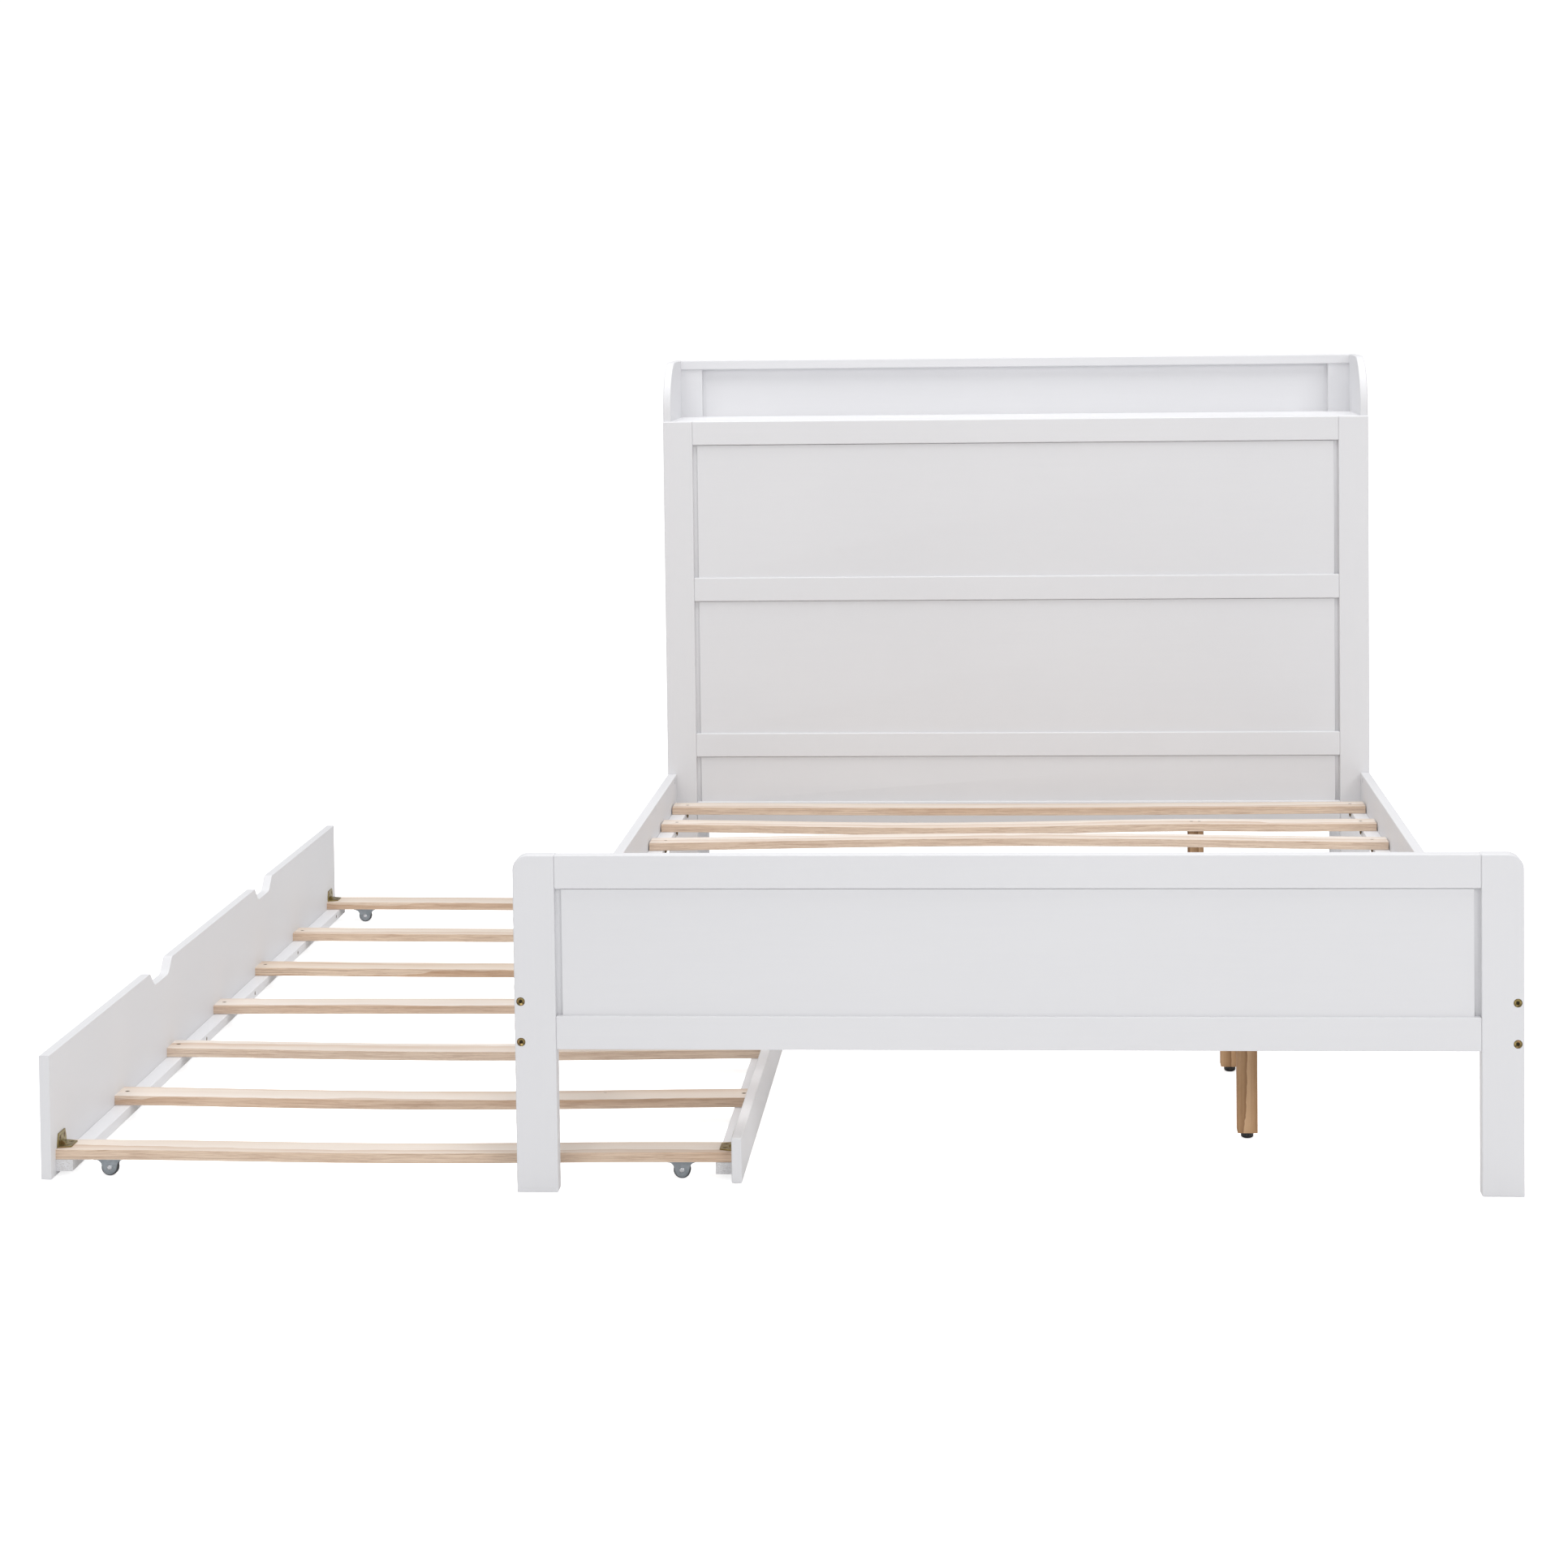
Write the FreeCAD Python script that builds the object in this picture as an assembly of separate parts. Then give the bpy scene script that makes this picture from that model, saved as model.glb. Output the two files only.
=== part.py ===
import FreeCAD, Part
import math
import os

# Full-size platform bed with a shelf headboard, a panelled footboard and a twin trundle on castors.
# Millimetres. While it is built: X runs across the bed from its centre line, Y runs from the outer face
# of the footboard to the headboard, and Z runs up from the floor. The trundle stands rolled out to -X.
# Every node is then moved so that the origin is under the middle of the whole object's box.

# ---- driving dimensions: bed ----
BED_WIDTH = 1420.0
INNER_LENGTH = 1920.0          # between the foot legs and the headboard posts
BASE_TOP = 235.0               # top of the bed slats
PULL_OUT = 700.0               # how far the trundle stands out from its stowed place
EASE = 2.0                     # rounded edge of the painted boards
GROOVE_DEPTH = 8.0             # panel grooves in legs, posts and rails
GROOVE_PLAY = 0.5              # gap at the bottom of each groove
PANEL_RECESS = 5.0             # panel face behind the rail face
REVEAL_DEPTH = 5.0             # how much lower the tongue lies than the panel face
REVEAL_WIDTH = 9.5             # tongue that shows beside each leg
TONGUE = 5.0                   # thickness of the panel's tongue

# ---- footboard ----
LEG_WIDTH = 59.0
LEG_DEPTH = 26.0
FOOT_HEIGHT = 483.0
LEG_CORNER_R = 21.0
RAIL_HEIGHT = 48.0
RAIL_THICK = 20.0
RAIL_SETBACK = 0.8             # rail face behind the leg face
FOOT_LOW_RAIL_Z = 205.0

# ---- headboard ----
POST_HEIGHT = 1004.0
HEAD_LOW_RAILS = [180.0, 320.0, 638.0]     # undersides; the top rail is level with the posts
REAR_POST_DEPTH = 25.0
SHELF_INNER_DEPTH = 215.0      # front of the shelf to the face of the rear posts
SHELF_THICK = 15.0
BRACKET_THICK = 15.0
BRACKET_RISE = 118.0           # above the posts
BRACKET_R = 100.0
BRACKET_SETBACK = 5.0
BACK_RAIL_HEIGHT = 19.0
BACK_RAIL_PROUD = 4.0          # in front of the rear posts
SHELF_PANEL_THICK = 9.0
SHELF_PANEL_RECESS = 16.0      # behind the face of the rear posts
STRETCHER_Z = 180.0
STRETCHER_THICK = 18.0

# ---- side rails and slatted base ----
SIDE_RAIL_THICK = 18.0
SIDE_RAIL_HEIGHT = 80.0
SIDE_RAIL_Z = 205.0
CLEAT_WIDTH = 28.0
CLEAT_END_GAP = 30.0
BED_SLATS = 10
SLAT_WIDTH = 54.0
SLAT_THICK = 15.0
SLAT_SIDE_PLAY = 2.0           # slat end to side rail
BED_SLAT_END_GAP = 51.0
SLAT_EASE = 1.2
SUPPORT_LEG = 30.0             # square section
SUPPORT_LEG_EASE = 2.4
SUPPORTED_SLATS = [2, 4, 7, 9]
SUPPORT_LEG_GAP = 22.0         # from the stowed trundle
GLIDE_R = 9.5
GLIDE_HEIGHT = 10.0
GLIDE_STEM_R = 3.0
GLIDE_STEM = 14.0
GLIDE_DOME = 4.0               # rounded part at the bottom of the glide

# ---- trundle ----
TRUNDLE_WIDTH = 1018.0
TRUNDLE_FOOT_GAP = 10.0
TRUNDLE_HEAD_GAP = 25.0
TRUNDLE_PANEL = 15.0
FRONT_PANEL_Z = 4.5
FRONT_PANEL_HEIGHT = 181.0
BACK_PANEL_Z = 3.5
BACK_PANEL_HEIGHT = 65.5
SCOOP_WIDTH = 130.0
SCOOP_DEPTH = 24.0
SCOOP_SPACING = 693.0
SCOOP_FLOOR_R = 20.0
SCOOP_LIP_R = 9.0
TRUNDLE_SLATS = 7
TRUNDLE_INSET = 22.0           # first slat and cleats, from the panel ends
TRUNDLE_CLEAT_WIDTH = 25.0
TRUNDLE_CLEAT_HEIGHT = 17.0

# ---- castors ----
WHEEL_HEADROOM = 1.3           # wheel to the housing's plate
CASTOR_INSET = 75.0            # castor centre from the inner face of each panel
CASTOR_FORWARD = 8.0           # castor centre ahead of its slat's middle, towards the footboard
WHEEL_R = 12.5
WHEEL_WIDTH = 9.0
WHEEL_EDGE = 1.0
AXLE_R = 2.0
AXLE_PLAY = 0.05               # radial clearance of the wheel's bore
AXLE_HEAD_R = 3.8
AXLE_HEAD = 1.2
AXLE_HEAD_EASE = 0.95          # rounding of the rivet head
SIDE_PLAY = 0.6                # wheel face to housing cheek
CHEEK = 1.2                    # pressed sheet of the housing
CHEEK_R = 10.6                 # around the axle
CHEEK_LEAN = 12.0              # degrees, of the cheek's straight sides
SHOULDER_START = 0.28          # share of the way from the axle's arc to the plate
SHOULDER_HOLLOW = 1.6          # how far the curved shoulders are drawn in and up
SHOULDER_TIP = 2.6             # upright edge of the shoulders under the plate
PLATE_LENGTH = 40.0
PLATE_WIDTH = 34.0

# ---- corner braces ----
BRACE_LENGTH = 40.0
BRACE_OUTER_LENGTH = 30.0
BRACE_FLANGE = 20.0
BRACE_SHEET = 2.0
BRACE_STRAIGHT = 6.7           # full-length part of each leaf, from the bend
BRACE_RIB = 8.0
BRACE_RIB_WIDTH = 7.0
BRACE_SCREW_OUT = 12.4         # screws from the bend
BRACE_SCREW_STEP = 10.0        # screws from the brace's middle

# ---- fasteners ----
BOLT_R = 3.0
BOLT_LENGTH = 66.0
BOLT_HEAD_R = 6.1
BOLT_HEAD = 4.0
BOLT_CHAMFER = 0.8
BOLT_SINK = 4.5                # depth of the counterbore
SOCKET_R = 2.6
SOCKET_DEPTH = 2.6
BOLT_EDGE = 11.0               # bolt axis from the top and bottom of the side rail
NUT_R = 5.0
NUT_LENGTH = 13.0
NUT_BACK = 32.0                # nut axis from the end of the side rail
HOLE_PLAY = 0.1                # radial, round bolts, nuts and screws
SCREW_R = 1.8
SCREW_HEAD_R = 3.6
SCREW_TIP = 3.6                # length of the point
SCREW_TIP_R = 0.45
SCREW_SINK = 0.4               # head below the surface
DRIVE_R = 1.2
DRIVE_DEPTH = 1.4
SLAT_SCREW = 26.0
LEG_SCREW = 40.0
LEG_SCREW_STEP = 7.5           # support leg screws from the leg's middle
CLEAT_SCREW = 36.0
BED_CLEAT_SCREWS = 6
TRUNDLE_CLEAT_SCREWS = 6
CLEAT_SCREW_PAST_SLAT = 27.0   # first and last cleat screws from the outer slats
BRACE_SCREW = 12.0
SCREW_FROM_END = 28.0          # slat screws from the slat's end

# ---- worked out from them ----
SIDE = BED_WIDTH / 2
LEG_IN = SIDE - LEG_WIDTH
BAY_FOOT = LEG_DEPTH
POST_Y = LEG_DEPTH + INNER_LENGTH
REAR_POST_Y = POST_Y + SHELF_INNER_DEPTH
LENGTH = REAR_POST_Y + REAR_POST_DEPTH
SLAT_Z = BASE_TOP - SLAT_THICK
RAIL_IN = SIDE - SIDE_RAIL_THICK
BOLT_X = SIDE - SIDE_RAIL_THICK / 2
BOLT_Z = [SIDE_RAIL_Z + BOLT_EDGE, SIDE_RAIL_Z + SIDE_RAIL_HEIGHT - BOLT_EDGE]
BED_PITCH = (INNER_LENGTH - 2 * BED_SLAT_END_GAP - SLAT_WIDTH) / (BED_SLATS - 1)
SUPPORT_X = -SIDE + TRUNDLE_WIDTH + SUPPORT_LEG_GAP + SUPPORT_LEG / 2
TOP_Z = POST_HEIGHT + BRACKET_RISE
HEAD_RAIL_Z = HEAD_LOW_RAILS + [POST_HEIGHT - RAIL_HEIGHT]

TRUNDLE_X = -SIDE - PULL_OUT
TRUNDLE_Y = BAY_FOOT + TRUNDLE_FOOT_GAP
TRUNDLE_LENGTH = INNER_LENGTH - TRUNDLE_FOOT_GAP - TRUNDLE_HEAD_GAP
TRUNDLE_IN = [TRUNDLE_X + TRUNDLE_PANEL, TRUNDLE_X + TRUNDLE_WIDTH - TRUNDLE_PANEL]
CASTOR_HEIGHT = 2 * WHEEL_R + WHEEL_HEADROOM + CHEEK
CLEAT_Z = CASTOR_HEIGHT - TRUNDLE_CLEAT_HEIGHT
TRUNDLE_TOP = CASTOR_HEIGHT + SLAT_THICK
TRUNDLE_PITCH = (TRUNDLE_LENGTH - 2 * TRUNDLE_INSET - SLAT_WIDTH) / (TRUNDLE_SLATS - 1)

# The origin stands on the floor under the middle of the whole object's box.
ORIGIN = FreeCAD.Vector((TRUNDLE_X + SIDE) / 2, LENGTH / 2, 0)

# ---- for cutting shapes and picking their edges ----
OVERRUN = 1.0                  # how far a cut runs past the face that it opens
NEAR = 1.0                     # what lies this close to a plane is on it
PARALLEL = 0.99                # cosine between two directions that count as one
HEX_SIDES = 6

V = FreeCAD.Vector
AXES = {"x": V(1, 0, 0), "y": V(0, 1, 0), "z": V(0, 0, 1)}


# ---- shapes that repeat ----
def box(x, y, z):
    """A block between two limits on each axis."""
    return Part.makeBox(x[1] - x[0], y[1] - y[0], z[1] - z[0], V(x[0], y[0], z[0]))


def board(x, y, z, ease, along=("x", "y", "z")):
    """A block whose edges are rounded, for the edges that run along the named axes."""
    block = box(x, y, z)
    edges = []
    for edge in block.Edges:
        line = edge.Vertexes[1].Point - edge.Vertexes[0].Point
        if any(abs(line.normalize().dot(AXES[a])) > PARALLEL for a in along):
            edges.append(edge)
    return block.makeFillet(ease, edges)


def rod(centre, axis, radius, length):
    """A cylinder that starts at centre and runs along axis."""
    return Part.makeCylinder(radius, length, centre, axis)


def hexagon(centre, axis, radius, length):
    """A six-sided prism for a socket, radius to its corners."""
    side = AXES["x"] if abs(axis.z) > PARALLEL else AXES["z"]
    other = axis.cross(side)
    points = []
    for i in range(HEX_SIDES + 1):
        turn = 2 * math.pi * i / HEX_SIDES
        points.append(centre + side * (radius * math.cos(turn)) + other * (radius * math.sin(turn)))
    return Part.Face(Part.makePolygon(points)).extrude(axis * length)


def screw(head, axis, length):
    """A countersunk wood screw; head is the centre of its flat top and axis points along the shank."""
    cone = Part.makeCone(SCREW_HEAD_R, SCREW_R, SCREW_HEAD_R - SCREW_R, head, axis)
    shank = rod(head, axis, SCREW_R, length - SCREW_TIP)
    tip = Part.makeCone(SCREW_R, SCREW_TIP_R, SCREW_TIP, head + axis * (length - SCREW_TIP), axis)
    body = cone.fuse([shank, tip]).removeSplitter()
    return body.cut(hexagon(head, axis, DRIVE_R, DRIVE_DEPTH))


def screw_hole(head, axis, length):
    """The space that a screw takes up, with its countersink open to the surface above its head."""
    big = SCREW_HEAD_R + HOLE_PLAY
    small = SCREW_R + HOLE_PLAY
    cone = Part.makeCone(big, small, big - small, head, axis)
    mouth = rod(head - axis * (2 * SCREW_SINK), axis, big, 2 * SCREW_SINK)
    return cone.fuse([mouth, rod(head, axis, small, length + OVERRUN)])


def spread(first, last, count):
    """Evenly spaced values from first to last."""
    return [first + (last - first) * i / (count - 1) for i in range(count)]


def both_sides(shape):
    """The shape and its mirror image across the bed's centre line."""
    return [shape, shape.mirror(V(0, 0, 0), AXES["x"])]


def panel(half_width, y_face, z):
    """A fielded panel between grooves: its tongue reaches into them and shows beside the posts."""
    reach = GROOVE_DEPTH - GROOVE_PLAY
    y_tongue = y_face + REVEAL_DEPTH
    y_back = y_tongue + TONGUE
    wide = half_width + reach
    field = half_width - REVEAL_WIDTH
    tongue = box([-wide, wide], [y_tongue, y_back], [z[0] - reach, z[1] + reach])
    face = box([-field, field], [y_face, y_back], [z[0], z[1]])
    return tongue.fuse(face).removeSplitter()


def groove(x, y_face, z):
    """A slot for the panel's tongue; the panel's face would lie at y_face."""
    y = y_face + REVEAL_DEPTH
    return box(x, [y, y + TONGUE], z)


def frame_rail(y, z, grooves):
    """A rail between the posts, grooved for the panels above (1) and below (-1) it."""
    top = z + RAIL_HEIGHT
    y_face = y + RAIL_SETBACK
    rail = board([-LEG_IN, LEG_IN], [y_face, y_face + RAIL_THICK], [z, top], EASE)
    for side in grooves:
        edge = [top - GROOVE_DEPTH, top] if side > 0 else [z, z + GROOVE_DEPTH]
        rail = rail.cut(groove([-SIDE, SIDE], y_face + PANEL_RECESS, edge))
    return rail


def bolt_cut(y_head, way):
    """Bolt holes through one right-hand leg or post, counterbored from the bolt head's side."""
    axis = AXES["y"] * way
    holes = []
    for z in BOLT_Z:
        start = V(BOLT_X, y_head, z)
        holes.append(rod(start, axis, BOLT_R + HOLE_PLAY, LEG_DEPTH))
        holes.append(rod(start, axis, BOLT_HEAD_R + HOLE_PLAY, BOLT_SINK))
    return holes


# ---- footboard ----
def foot_leg():
    """The right foot leg: rounded outer top corner, eased edges, panel groove and bolt holes."""
    blank = box([LEG_IN, SIDE], [0, LEG_DEPTH], [0, FOOT_HEIGHT])
    corner = [e for e in blank.Edges
              if e.CenterOfMass.x > SIDE - NEAR and e.CenterOfMass.z > FOOT_HEIGHT - NEAR]
    blank = blank.makeFillet(LEG_CORNER_R, corner)
    front_and_back = [f for f in blank.Faces if abs(f.normalAt(0, 0).y) > PARALLEL]
    rims = [e for f in front_and_back for e in f.Edges]
    inner = [e for e in blank.Edges if e.BoundBox.XMax < LEG_IN + NEAR and e.BoundBox.YLength > NEAR]
    leg = blank.makeFillet(EASE, rims + inner)
    y_face = RAIL_SETBACK + PANEL_RECESS
    slot = [FOOT_LOW_RAIL_Z + RAIL_HEIGHT - GROOVE_DEPTH, FOOT_HEIGHT - RAIL_HEIGHT + GROOVE_DEPTH]
    leg = leg.cut(groove([LEG_IN, LEG_IN + GROOVE_DEPTH], y_face, slot))
    return leg.cut(bolt_cut(0, 1))


def footboard():
    """Nodes of the footboard."""
    right, left = both_sides(foot_leg())
    top_z = FOOT_HEIGHT - RAIL_HEIGHT
    field = [FOOT_LOW_RAIL_Z + RAIL_HEIGHT, top_z]
    return {
        "foot_leg_right": right,
        "foot_leg_left": left,
        "foot_top_rail": frame_rail(0, top_z, [-1]),
        "foot_bottom_rail": frame_rail(0, FOOT_LOW_RAIL_Z, [1]),
        "foot_panel": panel(LEG_IN, RAIL_SETBACK + PANEL_RECESS, field),
    }


# ---- headboard ----
def head_post():
    """The right front post, grooved for the three panels and drilled from behind for the bolts."""
    post = board([LEG_IN, SIDE], [POST_Y, POST_Y + LEG_DEPTH], [0, POST_HEIGHT], EASE)
    y_face = POST_Y + RAIL_SETBACK + PANEL_RECESS
    slot = [HEAD_RAIL_Z[0] + RAIL_HEIGHT - GROOVE_DEPTH, HEAD_RAIL_Z[-1] + GROOVE_DEPTH]
    post = post.cut(groove([LEG_IN, LEG_IN + GROOVE_DEPTH], y_face, slot))
    return post.cut(bolt_cut(POST_Y + LEG_DEPTH, -1))


def shelf_bracket():
    """The right end of the shelf: a board with a large rounded front top corner."""
    x = [SIDE - BRACKET_THICK, SIDE]
    blank = box(x, [POST_Y + BRACKET_SETBACK, REAR_POST_Y], [POST_HEIGHT, TOP_Z])
    corner = [e for e in blank.Edges if e.BoundBox.XLength > NEAR and e.BoundBox.ZMin > TOP_Z - NEAR
              and e.BoundBox.YMax < REAR_POST_Y - NEAR]
    bracket = blank.makeFillet(BRACKET_R, corner)
    rims = []
    for edge in bracket.Edges:
        reach = edge.BoundBox
        at_back = reach.YMin > REAR_POST_Y - NEAR
        at_bottom = reach.ZMax < POST_HEIGHT + NEAR
        if reach.XLength < NEAR and not at_back and not at_bottom:
            rims.append(edge)
    return bracket.makeFillet(EASE, rims)


def rear_post():
    """The right rear post, from the floor to the top of the shelf's back."""
    return board([LEG_IN, SIDE], [REAR_POST_Y, LENGTH], [0, TOP_Z], EASE)


def shelf_board():
    """The shelf: it lies between the top head rail and the shelf's back panel, notched round the posts."""
    front = POST_Y + RAIL_SETBACK + RAIL_THICK
    shelf = box([-SIDE, SIDE], [front, REAR_POST_Y + SHELF_PANEL_RECESS],
                [POST_HEIGHT - SHELF_THICK, POST_HEIGHT])
    notches = both_sides(box([LEG_IN, SIDE], [POST_Y, POST_Y + LEG_DEPTH], [0, POST_HEIGHT]))
    notches += both_sides(box([LEG_IN, SIDE], [REAR_POST_Y, LENGTH], [0, POST_HEIGHT]))
    return shelf.cut(notches)


def headboard():
    """Nodes of the headboard and its shelf."""
    names = ["bottom", "lower", "middle", "top"]
    grooves = [[1], [-1, 1], [-1, 1], [-1]]
    nodes = {}
    for name, z, sides in zip(names, HEAD_RAIL_Z, grooves):
        nodes[f"head_{name}_rail"] = frame_rail(POST_Y, z, sides)
    y_face = POST_Y + RAIL_SETBACK + PANEL_RECESS
    for name, low, high in zip(["lower", "middle", "upper"], HEAD_RAIL_Z, HEAD_RAIL_Z[1:]):
        nodes[f"head_{name}_panel"] = panel(LEG_IN, y_face, [low + RAIL_HEIGHT, high])
    nodes["head_post_right"], nodes["head_post_left"] = both_sides(head_post())
    nodes["shelf_bracket_right"], nodes["shelf_bracket_left"] = both_sides(shelf_bracket())
    nodes["rear_post_right"], nodes["rear_post_left"] = both_sides(rear_post())
    nodes["shelf_board"] = shelf_board()
    panel_y = REAR_POST_Y + SHELF_PANEL_RECESS
    rail_z = TOP_Z - BACK_RAIL_HEIGHT
    reach = SIDE - BRACKET_THICK
    rail = board([-reach, reach], [REAR_POST_Y - BACK_RAIL_PROUD, LENGTH], [rail_z, TOP_Z], EASE, ["x"])
    posts = both_sides(box([LEG_IN, SIDE], [REAR_POST_Y, LENGTH], [0, TOP_Z]))
    nodes["shelf_back_rail"] = rail.cut(posts)
    nodes["shelf_back_panel"] = box([-LEG_IN, LEG_IN], [panel_y, panel_y + SHELF_PANEL_THICK],
                                    [POST_HEIGHT - SHELF_THICK, rail_z])
    stretcher = board([SIDE - STRETCHER_THICK - EASE, SIDE - EASE], [POST_Y + LEG_DEPTH, REAR_POST_Y],
                      [STRETCHER_Z, STRETCHER_Z + RAIL_HEIGHT], EASE, ["y"])
    nodes["head_stretchers"] = Part.makeCompound(both_sides(stretcher))
    return nodes


# ---- side rails ----
def side_rail():
    """The right side rail with holes for the bolts and cross dowel nuts at both ends."""
    rail = board([RAIL_IN, SIDE], [BAY_FOOT, POST_Y], [SIDE_RAIL_Z, SIDE_RAIL_Z + SIDE_RAIL_HEIGHT], EASE)
    depth = LEG_DEPTH - BOLT_SINK + BOLT_LENGTH
    holes = []
    for z in BOLT_Z:
        for y, way in ((0, 1), (POST_Y + LEG_DEPTH, -1)):
            holes.append(rod(V(BOLT_X, y, z), AXES["y"] * way, BOLT_R + HOLE_PLAY, depth))
        for y in (BAY_FOOT + NUT_BACK, POST_Y - NUT_BACK):
            holes.append(rod(V(RAIL_IN, y, z), AXES["x"], NUT_R + HOLE_PLAY, NUT_LENGTH + OVERRUN))
    for head, axis in bed_cleat_screws(1):
        holes.append(screw_hole(head, axis, CLEAT_SCREW))
    return rail.cut(holes)


def bed_cleat_screws(side):
    """Head and direction of each screw that holds a bed cleat to its side rail."""
    first = bed_slat_y(1) + SLAT_WIDTH + CLEAT_SCREW_PAST_SLAT
    last = bed_slat_y(BED_SLATS) - CLEAT_SCREW_PAST_SLAT
    z = (SIDE_RAIL_Z + SLAT_Z) / 2
    x = side * (RAIL_IN - CLEAT_WIDTH + SCREW_SINK)
    return [(V(x, y, z), AXES["x"] * side) for y in spread(first, last, BED_CLEAT_SCREWS)]


def slat_cleat():
    """The right-hand cleat that carries the slat ends."""
    cleat = board([RAIL_IN - CLEAT_WIDTH, RAIL_IN], [BAY_FOOT + CLEAT_END_GAP, POST_Y - CLEAT_END_GAP],
                  [SIDE_RAIL_Z, SLAT_Z], SLAT_EASE, ["y"])
    holes = [screw_hole(h, a, CLEAT_SCREW) for h, a in bed_cleat_screws(1)]
    holes += [screw_hole(h, a, SLAT_SCREW) for h, a in bed_slat_screws() if h.x > 0]
    return cleat.cut(holes)


# ---- bed slats and support legs ----
def bed_slat_y(number):
    """The foot-side edge of a bed slat, numbered from 1 at the foot."""
    return BAY_FOOT + BED_SLAT_END_GAP + BED_PITCH * (number - 1)


def bed_slat_screws():
    """Head and direction of the screws that hold the slats to the cleats."""
    x_screw = RAIL_IN - SLAT_SIDE_PLAY - SCREW_FROM_END
    found = []
    for number in range(1, BED_SLATS + 1):
        y = bed_slat_y(number) + SLAT_WIDTH / 2
        for x in (-x_screw, x_screw):
            found.append((V(x, y, BASE_TOP - SCREW_SINK), -AXES["z"]))
    return found


def support_leg_screws():
    """Head and direction of the two screws into each support leg."""
    found = []
    for number in SUPPORTED_SLATS:
        y = bed_slat_y(number) + SLAT_WIDTH / 2
        for step in (-1, 1):
            found.append((V(SUPPORT_X + step * LEG_SCREW_STEP, y, BASE_TOP - SCREW_SINK), -AXES["z"]))
    return found


def bed_slat(number, holes):
    """One bed slat, drilled where its own screws pass."""
    end = RAIL_IN - SLAT_SIDE_PLAY
    y = bed_slat_y(number)
    slat = board([-end, end], [y, y + SLAT_WIDTH], [SLAT_Z, BASE_TOP], SLAT_EASE, ["x"])
    return slat.cut([h for h in holes if y < h.BoundBox.YMin and h.BoundBox.YMax < y + SLAT_WIDTH])


def support_leg(number):
    """One support leg under the slat, drilled for its two screws and for the glide's stem."""
    y = bed_slat_y(number) + SLAT_WIDTH / 2
    half = SUPPORT_LEG / 2
    leg = board([SUPPORT_X - half, SUPPORT_X + half], [y - half, y + half], [GLIDE_HEIGHT, SLAT_Z],
                SUPPORT_LEG_EASE, ["z"])
    holes = [screw_hole(h, a, LEG_SCREW) for h, a in support_leg_screws() if abs(h.y - y) < half]
    holes.append(rod(V(SUPPORT_X, y, GLIDE_HEIGHT), AXES["z"], GLIDE_STEM_R + HOLE_PLAY,
                     GLIDE_STEM + OVERRUN))
    return leg.cut(holes)


def glide(number):
    """The plastic glide under a support leg: a disc with a rounded bottom and a stem."""
    centre = V(SUPPORT_X, bed_slat_y(number) + SLAT_WIDTH / 2, 0)
    disc = rod(centre, AXES["z"], GLIDE_R, GLIDE_HEIGHT)
    low_rim = [e for e in disc.Edges if e.BoundBox.ZMax < NEAR]
    disc = disc.makeFillet(GLIDE_DOME, low_rim)
    stem = rod(centre + AXES["z"] * GLIDE_HEIGHT, AXES["z"], GLIDE_STEM_R, GLIDE_STEM)
    return disc.fuse(stem)


def base():
    """Nodes of the side rails, cleats, slats and support legs."""
    nodes = {}
    nodes["side_rail_right"], nodes["side_rail_left"] = both_sides(side_rail())
    nodes["slat_cleat_right"], nodes["slat_cleat_left"] = both_sides(slat_cleat())
    holes = [screw_hole(h, a, SLAT_SCREW) for h, a in bed_slat_screws()]
    holes += [screw_hole(h, a, LEG_SCREW) for h, a in support_leg_screws()]
    for number in range(1, BED_SLATS + 1):
        nodes[f"bed_slat_{number:02d}"] = bed_slat(number, holes)
    nodes["support_legs"] = Part.makeCompound([support_leg(n) for n in SUPPORTED_SLATS])
    nodes["support_glides"] = Part.makeCompound([glide(n) for n in SUPPORTED_SLATS])
    screws = [screw(h, a, SLAT_SCREW) for h, a in bed_slat_screws()]
    screws += [screw(h, a, LEG_SCREW) for h, a in support_leg_screws()]
    for side in (-1, 1):
        screws += [screw(h, a, CLEAT_SCREW) for h, a in bed_cleat_screws(side)]
    nodes["bed_screws"] = Part.makeCompound(screws)
    return nodes


# ---- bolts and nuts ----
def frame_bolt(y_head, way, z):
    """A bolt with a hex socket head, its head sunk in the leg or post."""
    axis = AXES["y"] * way
    under_head = V(BOLT_X, y_head, z) + axis * BOLT_SINK
    top = under_head - axis * BOLT_HEAD
    head = rod(top, axis, BOLT_HEAD_R, BOLT_HEAD)
    outer_rim = [e for e in head.Edges if abs(e.CenterOfMass.y - top.y) < NEAR]
    head = head.makeChamfer(BOLT_CHAMFER, outer_rim)
    bolt = head.fuse(rod(under_head, axis, BOLT_R, BOLT_LENGTH))
    return bolt.cut(hexagon(top, axis, SOCKET_R, SOCKET_DEPTH))


def cross_nut(y, z):
    """A cross dowel nut, bored for its bolt, pushed in from the rail's inner face."""
    nut = rod(V(RAIL_IN, y, z), AXES["x"], NUT_R, NUT_LENGTH)
    start = V(BOLT_X, y - NUT_R - OVERRUN, z)
    return nut.cut(rod(start, AXES["y"], BOLT_R + HOLE_PLAY, 2 * (NUT_R + OVERRUN)))


def frame_hardware():
    """Nodes of the bolts and the cross dowel nuts."""
    bolts = []
    nuts = []
    for z in BOLT_Z:
        bolts += both_sides(frame_bolt(0, 1, z))
        bolts += both_sides(frame_bolt(POST_Y + LEG_DEPTH, -1, z))
        nuts += both_sides(cross_nut(BAY_FOOT + NUT_BACK, z))
        nuts += both_sides(cross_nut(POST_Y - NUT_BACK, z))
    return {"frame_bolts": Part.makeCompound(bolts), "cross_nuts": Part.makeCompound(nuts)}


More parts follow.
